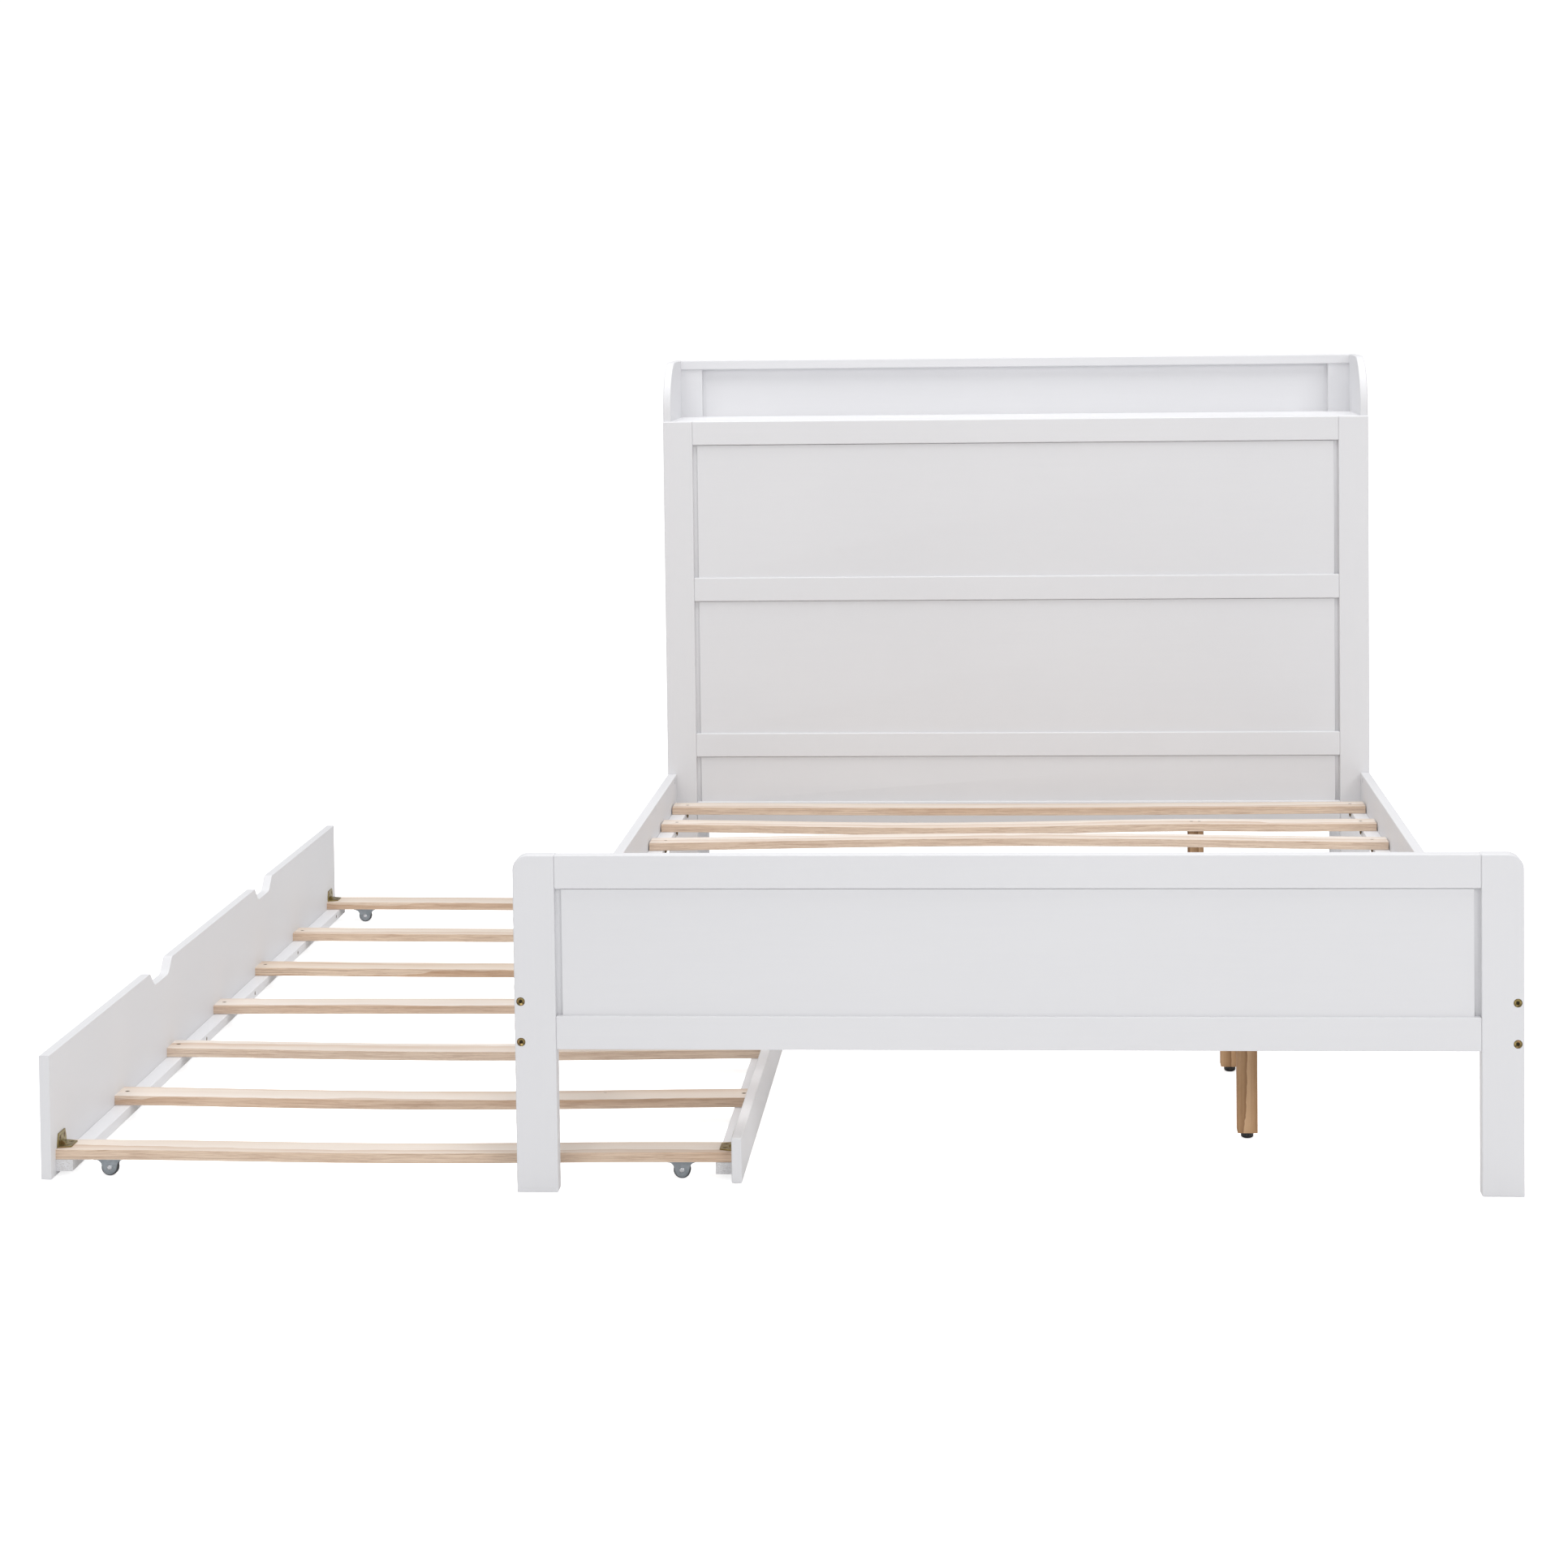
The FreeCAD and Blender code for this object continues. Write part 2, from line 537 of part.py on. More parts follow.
# ---- trundle ----
def scoop(y):
    """The finger scoop's cut: flat floor, rounded corners and rounded lips, centred on y."""
    top = FRONT_PANEL_Z + FRONT_PANEL_HEIGHT
    floor = top - SCOOP_DEPTH
    half = SCOOP_WIDTH / 2
    x = TRUNDLE_X - OVERRUN
    points = [V(x, y - half, top), V(x, y - half + SCOOP_DEPTH, floor),
              V(x, y + half - SCOOP_DEPTH, floor), V(x, y + half, top),
              V(x, y + half, top + SCOOP_DEPTH), V(x, y - half, top + SCOOP_DEPTH)]
    outline = Part.makePolygon(points + points[:1])
    cut = Part.Face(outline).extrude(AXES["x"] * (TRUNDLE_PANEL + 2 * OVERRUN))
    floor_edges = [e for e in cut.Edges
                   if e.BoundBox.XLength > TRUNDLE_PANEL and e.BoundBox.ZMax < floor + NEAR]
    return cut.makeFillet(SCOOP_FLOOR_R, floor_edges)


def trundle_front_panel():
    """The tall panel that shows when the trundle is stowed, with two finger scoops in its top edge."""
    y = [TRUNDLE_Y, TRUNDLE_Y + TRUNDLE_LENGTH]
    z = [FRONT_PANEL_Z, FRONT_PANEL_Z + FRONT_PANEL_HEIGHT]
    front = box([TRUNDLE_X, TRUNDLE_IN[0]], y, z)
    middle = TRUNDLE_Y + TRUNDLE_LENGTH / 2
    front = front.cut([scoop(middle - SCOOP_SPACING / 2), scoop(middle + SCOOP_SPACING / 2)])
    lips = [e for e in front.Edges if e.BoundBox.XLength > NEAR and e.BoundBox.ZMin > z[1] - NEAR
            and y[0] + NEAR < e.BoundBox.YMin < y[1] - NEAR]
    front = front.makeFillet(SCOOP_LIP_R, lips)
    rims = [e for e in front.Edges if e.BoundBox.XLength < NEAR and e.BoundBox.ZMin > z[0] + NEAR]
    front = front.makeFillet(EASE / 2, rims)
    return front.cut(trundle_cleat_holes(0))


def trundle_back_panel():
    """The low panel on the far side of the trundle."""
    back = board([TRUNDLE_IN[1], TRUNDLE_IN[1] + TRUNDLE_PANEL], [TRUNDLE_Y, TRUNDLE_Y + TRUNDLE_LENGTH],
                 [BACK_PANEL_Z, BACK_PANEL_Z + BACK_PANEL_HEIGHT], EASE)
    return back.cut(trundle_cleat_holes(1))


def trundle_cleat_screws(side):
    """Head and direction of the screws from one trundle cleat into its panel; side 0 is the front."""
    way = 1 if side else -1
    x = TRUNDLE_IN[side] - way * (TRUNDLE_CLEAT_WIDTH - SCREW_SINK)
    first = trundle_slat_y(1) + SLAT_WIDTH + CLEAT_SCREW_PAST_SLAT
    last = trundle_slat_y(TRUNDLE_SLATS) - CLEAT_SCREW_PAST_SLAT
    z = CLEAT_Z + TRUNDLE_CLEAT_HEIGHT / 2
    return [(V(x, y, z), AXES["x"] * way) for y in spread(first, last, TRUNDLE_CLEAT_SCREWS)]


def trundle_cleat_holes(side):
    """Screw holes shared by a trundle cleat and its panel."""
    return [screw_hole(h, a, CLEAT_SCREW) for h, a in trundle_cleat_screws(side)]


def trundle_slat_y(number):
    """The foot-side edge of a trundle slat, numbered from 1 at the foot."""
    return TRUNDLE_Y + TRUNDLE_INSET + TRUNDLE_PITCH * (number - 1)


def trundle_slat_screws():
    """Head and direction of the slat screws; the first and last slats have corner braces instead."""
    reach = TRUNDLE_CLEAT_WIDTH / 2
    found = []
    for number in range(2, TRUNDLE_SLATS):
        y = trundle_slat_y(number) + SLAT_WIDTH / 2
        for x in (TRUNDLE_IN[0] + reach, TRUNDLE_IN[1] - reach):
            found.append((V(x, y, TRUNDLE_TOP - SCREW_SINK), -AXES["z"]))
    return found


def trundle_cleat(side):
    """The cleat inside the front (0) or back (1) panel of the trundle."""
    edge = TRUNDLE_IN[side]
    x = [edge, edge + TRUNDLE_CLEAT_WIDTH] if side == 0 else [edge - TRUNDLE_CLEAT_WIDTH, edge]
    y = [TRUNDLE_Y + TRUNDLE_INSET, TRUNDLE_Y + TRUNDLE_LENGTH - TRUNDLE_INSET]
    cleat = board(x, y, [CLEAT_Z, CASTOR_HEIGHT], SLAT_EASE, ["y"])
    holes = trundle_cleat_holes(side)
    holes += [screw_hole(h, a, SLAT_SCREW) for h, a in trundle_slat_screws() if x[0] < h.x < x[1]]
    return cleat.cut(holes)


def trundle_slat(number, holes):
    """One trundle slat, drilled for the screws that pass through it."""
    y = trundle_slat_y(number)
    slat = board(TRUNDLE_IN, [y, y + SLAT_WIDTH], [CASTOR_HEIGHT, TRUNDLE_TOP], SLAT_EASE, ["x"])
    return slat.cut([h for h in holes if y < h.BoundBox.YMin and h.BoundBox.YMax < y + SLAT_WIDTH])


# ---- corner braces ----
def brace_places():
    """Corner (on the slat, at the panel), inward direction, for the four braces."""
    found = []
    for number in (1, TRUNDLE_SLATS):
        y = trundle_slat_y(number) + SLAT_WIDTH / 2
        for x, way in ((TRUNDLE_IN[0], 1), (TRUNDLE_IN[1], -1)):
            found.append((V(x, y, TRUNDLE_TOP), way))
    return found


def brace_screws(corner, way):
    """Head and direction of the four screws of one brace: two down, two into the panel."""
    found = []
    for step in (-1, 1):
        y = AXES["y"] * (step * BRACE_SCREW_STEP)
        lift = AXES["z"] * (BRACE_SHEET - SCREW_SINK)
        found.append((corner + AXES["x"] * (way * BRACE_SCREW_OUT) + lift + y, -AXES["z"]))
        push = AXES["x"] * (way * (BRACE_SHEET - SCREW_SINK))
        found.append((corner + AXES["z"] * BRACE_SCREW_OUT + push + y, AXES["x"] * -way))
    return found


def flange(corner, along, normal):
    """One tapered leaf of a brace: widest at the bend, narrower at its outer edge."""
    half = BRACE_LENGTH / 2
    tip = BRACE_OUTER_LENGTH / 2
    outline = [(0, -half), (BRACE_STRAIGHT, -half), (BRACE_FLANGE, -tip),
               (BRACE_FLANGE, tip), (BRACE_STRAIGHT, half), (0, half)]
    points = [corner + along * a + AXES["y"] * b for a, b in outline]
    return Part.Face(Part.makePolygon(points + points[:1])).extrude(normal * BRACE_SHEET)


def corner_brace(corner, way):
    """An angle brace of sheet steel with a stiffening rib across the bend and four screw holes."""
    across = AXES["x"] * way
    leaf_down = flange(corner, across, AXES["z"])
    leaf_up = flange(corner, AXES["z"], across)
    start = corner + AXES["y"] * (-BRACE_RIB_WIDTH / 2) + (across + AXES["z"]) * (BRACE_SHEET / 2)
    points = [start, start + across * BRACE_RIB, start + AXES["z"] * BRACE_RIB, start]
    rib = Part.Face(Part.makePolygon(points)).extrude(AXES["y"] * BRACE_RIB_WIDTH)
    brace = leaf_down.fuse([leaf_up, rib]).removeSplitter()
    return brace.cut([screw_hole(h, a, BRACE_SCREW) for h, a in brace_screws(corner, way)])


# ---- castors ----
def castor_places():
    """Centre of each castor on the floor."""
    found = []
    for number in (1, TRUNDLE_SLATS):
        y = trundle_slat_y(number) + SLAT_WIDTH / 2 - CASTOR_FORWARD
        for x in (TRUNDLE_IN[0] + CASTOR_INSET, TRUNDLE_IN[1] - CASTOR_INSET):
            found.append(V(x, y, 0))
    return found


def castor_screws(place):
    """Head and direction of the two plate screws, one each side of the housing."""
    reach = WHEEL_WIDTH / 2 + SIDE_PLAY + CHEEK
    y = (reach + PLATE_WIDTH / 2) / 2
    low = V(place.x, place.y, CASTOR_HEIGHT - CHEEK + SCREW_SINK)
    return [(low + AXES["y"] * (step * y), AXES["z"]) for step in (-1, 1)]


def castor_housing(place):
    """Pressed housing: a plate under the slat and two cheeks, round at the axle and wide at the top."""
    plate_z = CASTOR_HEIGHT - CHEEK
    half = PLATE_LENGTH / 2
    plate = box([place.x - half, place.x + half], [place.y - PLATE_WIDTH / 2, place.y + PLATE_WIDTH / 2],
                [plate_z, CASTOR_HEIGHT])
    lean = math.radians(CHEEK_LEAN)
    side = V(CHEEK_R * math.cos(lean), 0, WHEEL_R - CHEEK_R * math.sin(lean))
    shoulder = V(side.x + (plate_z - side.z) * math.tan(lean), 0, plate_z)
    corner = V(half, 0, plate_z)
    flare = V(half, 0, plate_z - SHOULDER_TIP)
    knee = side + (shoulder - side) * SHOULDER_START
    hollow = (knee + flare) / 2 + V(-SHOULDER_HOLLOW, 0, SHOULDER_HOLLOW)
    side_2, knee_2, hollow_2, flare_2, corner_2 = [V(-p.x, 0, p.z) for p in (side, knee, hollow, flare, corner)]
    outline = Part.Wire([
        Part.Arc(side_2, V(0, 0, WHEEL_R - CHEEK_R), side).toShape(),
        Part.LineSegment(side, knee).toShape(),
        Part.Arc(knee, hollow, flare).toShape(),
        Part.LineSegment(flare, corner).toShape(),
        Part.LineSegment(corner, corner_2).toShape(),
        Part.LineSegment(corner_2, flare_2).toShape(),
        Part.Arc(flare_2, hollow_2, knee_2).toShape(),
        Part.LineSegment(knee_2, side_2).toShape(),
    ])
    inner = WHEEL_WIDTH / 2 + SIDE_PLAY
    cheeks = []
    for y in (-inner - CHEEK, inner):
        cheek = Part.Face(outline).extrude(AXES["y"] * CHEEK)
        cheek.translate(V(place.x, place.y + y, 0))
        cheeks.append(cheek)
    solid = plate.fuse(cheeks).removeSplitter()
    axle_hole = rod(V(place.x, place.y - 2 * inner, WHEEL_R), AXES["y"], AXLE_R + AXLE_PLAY, 4 * inner)
    holes = [axle_hole] + [screw_hole(h, a, BRACE_SCREW) for h, a in castor_screws(place)]
    return solid.cut(holes)


def castor_axle(place):
    """A rivet with a domed head outside each cheek."""
    reach = WHEEL_WIDTH / 2 + SIDE_PLAY + CHEEK
    centre = V(place.x, place.y, WHEEL_R)
    pin = rod(centre - AXES["y"] * reach, AXES["y"], AXLE_R, 2 * reach)
    heads = []
    for way in (-1, 1):
        head = rod(centre + AXES["y"] * (way * reach), AXES["y"] * way, AXLE_HEAD_R, AXLE_HEAD)
        rim = [e for e in head.Edges if abs(e.CenterOfMass.y - centre.y) > reach + AXLE_HEAD / 2]
        heads.append(head.makeFillet(AXLE_HEAD_EASE, rim))
    return pin.fuse(heads)


def castor_wheel(place):
    """A small wheel with a plain bore and eased rims."""
    start = V(place.x, place.y - WHEEL_WIDTH / 2, WHEEL_R)
    wheel = rod(start, AXES["y"], WHEEL_R, WHEEL_WIDTH)
    rims = [e for e in wheel.Edges if e.isClosed()]
    wheel = wheel.makeFillet(WHEEL_EDGE, rims)
    bore = rod(start - AXES["y"] * OVERRUN, AXES["y"], AXLE_R + AXLE_PLAY, WHEEL_WIDTH + 2 * OVERRUN)
    return wheel.cut(bore)


def trundle():
    """Nodes of the trundle and its castors."""
    nodes = {
        "trundle_front_panel": trundle_front_panel(),
        "trundle_back_panel": trundle_back_panel(),
        "trundle_front_cleat": trundle_cleat(0),
        "trundle_back_cleat": trundle_cleat(1),
    }
    small = []
    for corner, way in brace_places():
        small += brace_screws(corner, way)
    for place in castor_places():
        small += castor_screws(place)
    slat_screws = trundle_slat_screws()
    panel_screws = trundle_cleat_screws(0) + trundle_cleat_screws(1)
    holes = [screw_hole(h, a, BRACE_SCREW) for h, a in small]
    nodes["trundle_front_panel"] = nodes["trundle_front_panel"].cut(holes)
    nodes["trundle_back_panel"] = nodes["trundle_back_panel"].cut(holes)
    holes += [screw_hole(h, a, SLAT_SCREW) for h, a in slat_screws]
    for number in range(1, TRUNDLE_SLATS + 1):
        nodes[f"trundle_slat_{number}"] = trundle_slat(number, holes)
    nodes["corner_braces"] = Part.makeCompound([corner_brace(c, w) for c, w in brace_places()])
    screws = [screw(h, a, BRACE_SCREW) for h, a in small]
    screws += [screw(h, a, SLAT_SCREW) for h, a in slat_screws]
    screws += [screw(h, a, CLEAT_SCREW) for h, a in panel_screws]
    nodes["trundle_screws"] = Part.makeCompound(screws)
    places = castor_places()
    nodes["castor_housings"] = Part.makeCompound([castor_housing(p) for p in places])
    nodes["castor_axles"] = Part.makeCompound([castor_axle(p) for p in places])
    for number, place in enumerate(places, 1):
        nodes[f"castor_wheel_{number}"] = castor_wheel(place)
    return nodes


def main():
    """Builds every node, moves it to the origin and writes it."""
    os.makedirs("parts", exist_ok=True)
    nodes = {}
    for group in (footboard, headboard, base, frame_hardware, trundle):
        nodes.update(group())
    for name, shape in nodes.items():
        moved = shape.copy()
        moved.translate(-ORIGIN)
        moved.exportStep(f"parts/{name}.step")


main()
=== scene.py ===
import math

import bmesh
import bpy
from mathutils import Euler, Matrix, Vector, noise


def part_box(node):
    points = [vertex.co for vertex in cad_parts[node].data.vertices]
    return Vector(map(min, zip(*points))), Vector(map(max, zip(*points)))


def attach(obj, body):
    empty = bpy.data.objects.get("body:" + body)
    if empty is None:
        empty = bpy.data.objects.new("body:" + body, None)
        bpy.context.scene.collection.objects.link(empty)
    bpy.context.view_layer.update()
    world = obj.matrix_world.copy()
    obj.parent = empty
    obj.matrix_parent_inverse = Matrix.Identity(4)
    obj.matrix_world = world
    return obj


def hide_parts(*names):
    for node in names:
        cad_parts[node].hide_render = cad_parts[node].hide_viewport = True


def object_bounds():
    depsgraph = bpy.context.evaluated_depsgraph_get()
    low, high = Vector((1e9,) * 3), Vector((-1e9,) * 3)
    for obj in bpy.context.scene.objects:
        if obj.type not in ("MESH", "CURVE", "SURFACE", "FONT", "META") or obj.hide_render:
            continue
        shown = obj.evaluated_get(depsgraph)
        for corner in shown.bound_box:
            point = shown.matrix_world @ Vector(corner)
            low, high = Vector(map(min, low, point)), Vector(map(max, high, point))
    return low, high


# White trundle bed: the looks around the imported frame. Metres, in the frame's own axes:
# +Y runs from the footboard to the headboard, +Z is up, and the trundle rolls out towards -X.
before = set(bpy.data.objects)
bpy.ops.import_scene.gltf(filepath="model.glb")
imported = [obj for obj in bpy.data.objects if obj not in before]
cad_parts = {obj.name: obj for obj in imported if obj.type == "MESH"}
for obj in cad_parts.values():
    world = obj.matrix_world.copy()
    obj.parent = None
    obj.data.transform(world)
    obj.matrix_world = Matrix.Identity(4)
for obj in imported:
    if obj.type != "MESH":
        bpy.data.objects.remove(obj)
CAD_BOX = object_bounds()

# ---- camera: in front of the footboard, higher than the headboard ----
CAMERA_BACK = 4.379            # from the footboard's face
CAMERA_SIDE = 0.0176           # to the right of the bed's middle
CAMERA_HEIGHT = 1.3035
CAMERA_YAW = 3.202             # degrees, to the left
CAMERA_PITCH = -2.475
CAMERA_ROLL = -0.658
LENS = 71.998
SENSOR = 36.0
SHIFT = (-0.040, -0.240)

# ---- studio ----
FLOOR_HALF = 40.0              # half of the floor's side
SKY_COLOUR = (0.985, 0.985, 1.0)
SKY_STRENGTH = 0.42            # the sky that lights the object
SURROUND = 1.05                # brightness of the white surround that is seen behind the object
FLOOR_TONE = 0.84
FLOOR_MOTTLE = 1.02            # the floor's palest patches against its darkest
FLOOR_GLOW = 0.75              # seen directly, the floor is as pale as the surround
# name, place, what it points at, size, watts, colour
LAMPS = [
    ("key", (3.6, -5.8, 3.2), (0.4, 0.6, 0.5), 2.2, 92.0, (1.0, 0.998, 0.997)),
    ("top", (0.1, -0.1, 5.0), (0.1, 0.1, 0.0), 6.0, 222.0, (1.0, 1.0, 1.0)),
    ("fill", (-2.0, -6.4, 2.6), (0.4, 0.6, 0.5), 3.0, 50.0, (0.995, 0.998, 1.0)),
]

# ---- sizes of the detail ----
MM = 0.001
WELD = 0.005 * MM
SMOOTH_ANGLE = math.radians(32)
METAL_EASE = 0.25 * MM
BRACE_EASE = 0.35 * MM
PANEL_GAP = 1.5 * MM           # under the rail above a panel
PANEL_GAP_DEPTH = 3.2 * MM
ROUND_STEPS = 48

SLAT_CUTS = 26                 # sections along a board, so that it can bend
SLAT_WAVE = 0.35 * MM          # planing unevenness, to each side
WAVE_TURNS = 3.0               # how quickly the unevenness changes along a slat
WAVE_SPREAD = 5.1              # how different it is from one seed to the next
NARROW_MARGIN = 0.3 * MM       # how near a board's narrow faces a vertex counts as part of them

CASTORS = (1, 2, 3, 4)
WHEEL_RIBS = 5                 # moulded grooves round the tread
WHEEL_RIB_DEPTH = 0.45 * MM
RIB_STEPS = 4                  # sections across one groove
WHEEL_BORE_R = 2.05 * MM
WHEEL_HUB_R = 4.6 * MM
WHEEL_HUB_SINK = 0.7 * MM      # how deep the web between hub and rim lies
WHEEL_RIM = 1.6 * MM           # from the tread to the rim's inner edge
WHEEL_EASE = 0.12 * MM
WHEEL_EASE_ANGLE = 50.0

CHEEK_R = 10.6 * MM            # outer radius of a castor's cheek round its axle
CHEEK_LEAN = math.radians(12)  # of the cheek's straight edges, from upright
CHEEK_HALF_GAP = 5.1 * MM      # from the wheel's middle to the inner face of a cheek
CHEEK_SHEET = 1.2 * MM
BEAD_R = 0.42 * MM             # the pressed rim line on each cheek
BEAD_INSET = 0.9 * MM
BEAD_RISE = 6.5 * MM           # its straight ends
BEAD_STEPS = 32
AXLE_R = 2.0 * MM
AXLE_STEPS = 32

SOCKET_REACH = 2.7 * MM        # from a bolt's axis to the corners of its socket
BOLT_DISH = 0.9 * MM           # how far a head's face falls from its edge to its socket

# Bow of each slat at its highest or lowest point, in mm: negative sags, positive is crowned.
BED_BOWS = {1: -2.5, 2: 1.5, 3: 3.0, 4: -2.0, 5: 2.2, 6: -3.4, 7: 2.6, 8: 8.0, 9: -6.5, 10: -3.0}
TRUNDLE_BOWS = {1: -3.5, 2: -5.6, 3: -5.0, 4: 0.8, 5: -3.0, 6: -2.2, 7: -2.0}
CASTOR_SLATS = (1, 7)
# How straight a bowed slat's ends stay: 1 is a plain arc.
BED_EASE = 1.3
PROPPED_EASE = 1.7
TRUNDLE_EASE = 1.4
CASTOR_SLAT_EASE = 2.6
PROPPED_REST = 0.15            # the share of the bow that is left beyond a support leg
# Seeds of the grain: the first board's offset, and the step from one board to the next.
BED_SEED_STEP = 1.37
TRUNDLE_SEED = 20
TRUNDLE_SEED_STEP = 1.83
LEG_SEED = 3.2


# ---- node materials ----
def add(tree, kind, inputs=None, **settings):
    """A new node; inputs maps a socket's name or number to a value, or to a socket to link from."""
    node = tree.nodes.new(kind)
    for key, value in settings.items():
        setattr(node, key, value)
    for key, value in (inputs or {}).items():
        if isinstance(value, bpy.types.NodeSocket):
            tree.links.new(value, node.inputs[key])
        else:
            node.inputs[key].default_value = value
    return node


def ramp(tree, factor, stops):
    """A colour ramp from (position, colour) stops."""
    node = add(tree, "ShaderNodeValToRGB", {0: factor})
    elements = node.color_ramp.elements
    while len(elements) < len(stops):
        elements.new(0.5)
    for element, (position, colour) in zip(elements, stops):
        element.position = position
        element.color = (*colour, 1.0)
    return node.outputs["Color"]


def mix(tree, factor, a, b, blend="MIX"):
    """Mixes two colours."""
    node = add(tree, "ShaderNodeMix", {"Factor": factor, "A": a, "B": b},
               data_type="RGBA", blend_type=blend)
    return node.outputs["Result"]


def maths(tree, operation, a, b=0.0):
    """One arithmetic step on numbers or sockets."""
    node = add(tree, "ShaderNodeMath", {0: a, 1: b}, operation=operation)
    return node.outputs[0]


def times(tree, a, b):
    """The product of two numbers or sockets."""
    return maths(tree, "MULTIPLY", a, b)


def weighted(tree, *parts):
    """The sum of (value, weight) parts."""
    total = None
    for value, weight in reversed(parts):
        part = times(tree, value, weight)
        total = part if total is None else maths(tree, "ADD", part, total)
    return total


def grey(value):
    """A neutral colour."""
    return (value, value, value)


def step_up(tree, factor, start, end):
    """Black up to start, white from end on."""
    return ramp(tree, factor, [(start, grey(0)), (end, grey(1))])


def scaled(tree, vector, scale):
    """Coordinates stretched along each axis."""
    node = add(tree, "ShaderNodeMapping", {"Vector": vector, "Scale": scale})
    return node.outputs["Vector"]


def moved(tree, vector, offset):
    """Coordinates shifted by three numbers or sockets."""
    shift = add(tree, "ShaderNodeCombineXYZ", dict(zip("XYZ", offset))).outputs[0]
    return add(tree, "ShaderNodeVectorMath", {0: vector, 1: shift}, operation="ADD").outputs[0]


def cloud(tree, vector, scale, detail=3.0, rough=0.55, distortion=0.0):
    """Fractal noise, about 0.5 on average."""
    node = add(tree, "ShaderNodeTexNoise", {"Vector": vector, "Scale": scale, "Detail": detail,
                                            "Roughness": rough, "Distortion": distortion})
    return node.outputs["Fac"]


def new_material(name, **fixed):
    """A node material; fixed sets sockets of its shader that are the same all over."""
    material = bpy.data.materials.new(name)
    material.use_nodes = True
    tree = material.node_tree
    shader = next(n for n in tree.nodes if n.type == "BSDF_PRINCIPLED")
    for key, value in fixed.items():
        shader.inputs[key.replace("_", " ")].default_value = value
    return material, tree, shader


def finish_surface(tree, shader, colour, roughness, height, depth):
    """Links colour, roughness and a bump of the given depth, in metres."""
    tree.links.new(colour, shader.inputs["Base Color"])
    tree.links.new(roughness, shader.inputs["Roughness"])
    bump = add(tree, "ShaderNodeBump", {"Height": height, "Strength": 1.0, "Distance": depth})
    tree.links.new(bump.outputs["Normal"], shader.inputs["Normal"])


def between(tree, value, low, high):
    """Maps 0..1 to low..high."""
    node = add(tree, "ShaderNodeMapRange", {"Value": value, "To Min": low, "To Max": high})
    return node.outputs["Result"]


# ---- tones and relief ----
PAINT_WHITE = (0.778, 0.778, 0.793)
PAINT_SHADE = (0.752, 0.752, 0.769)
PAINT_ROUGHNESS = (0.40, 0.56)
PAINT_RELIEF = 0.05 * MM
PAINT_GRAIN_ACROSS = 26.0      # how fine the grain that shows through is
PAINT_GRAIN_ALONG = 1.1
END_GRAIN_DARK = (0.50, 0.485, 0.475)
END_GRAIN_COVER = 0.70
WOOD_ROUGHNESS = (0.52, 0.78)
WOOD_RELIEF = 0.16 * MM
SAWN_TINT = (1.04, 0.945, 0.845)   # narrow faces against broad ones
BOARD_TINT = (0.95, 0.915, 0.865)  # the darkest board against the palest
LEG_PAINTED_SHADE = 0.30                # painted shade: how much darker a leg's top is than its foot, for the shadow under the bed
PAINTED_SHADE_SPAN = (-0.09, 0.10)      # the painted shade changes between these heights from a leg's middle
PORE_COVER = 0.38
SAWN_COVER = 0.62
HAIR_COVER = 0.66
KNOT_COVER = 0.85
KNOT_DARK = (0.13, 0.065, 0.03)
KNOT_FREE = 0.62               # share of the cells that have no knot
METAL_RELIEF = 0.012 * MM
# painted shade inside the bolts' hex sockets, and how fully it covers them
SOCKET_PAINTED_SHADE = (0.020, 0.017, 0.012)
SOCKET_SHADE_COVER = 0.92
PLASTIC_RELIEF = 0.01 * MM


def white_paint(name, along, end_grain=False):
    """Satin white paint with faint roller texture and wood grain telegraphing along one axis."""
    material, tree, shader = new_material(name, Specular_IOR_Level=0.42, IOR=1.5)
    place = add(tree, "ShaderNodeTexCoord").outputs["Object"]
    stretch = [PAINT_GRAIN_ACROSS] * 3
    stretch["xyz".index(along)] = PAINT_GRAIN_ALONG
    grain = cloud(tree, scaled(tree, place, stretch), 7.0, 5.0, 0.6, 0.4)
    clouds = cloud(tree, place, 1.7, 3.0)
    roller = cloud(tree, place, 420.0, 2.0, 0.5)
    tone = weighted(tree, (clouds, 0.75), (grain, 0.25))
    colour = ramp(tree, tone, [(0.30, PAINT_SHADE), (0.70, PAINT_WHITE)])
    rough = between(tree, weighted(tree, (grain, 0.5), (clouds, 0.5)), *PAINT_ROUGHNESS)
    height = weighted(tree, (grain, 0.65), (roller, 0.35))
    if end_grain:
        normal = add(tree, "ShaderNodeNewGeometry").outputs["Normal"]
        facing = add(tree, "ShaderNodeSeparateXYZ", {0: normal}).outputs[along.upper()]
        cut_end = step_up(tree, maths(tree, "ABSOLUTE", facing), 0.85, 0.95)
        fibres = cloud(tree, scaled(tree, place, (230.0, 60.0, 620.0)), 1.0, 4.0, 0.7, 1.6)
        bare = step_up(tree, fibres, 0.44, 0.60)
        raw = times(tree, times(tree, bare, cut_end), END_GRAIN_COVER)
        colour = mix(tree, raw, colour, (*END_GRAIN_DARK, 1.0))
    finish_surface(tree, shader, colour, rough, height, PAINT_RELIEF)
    return material


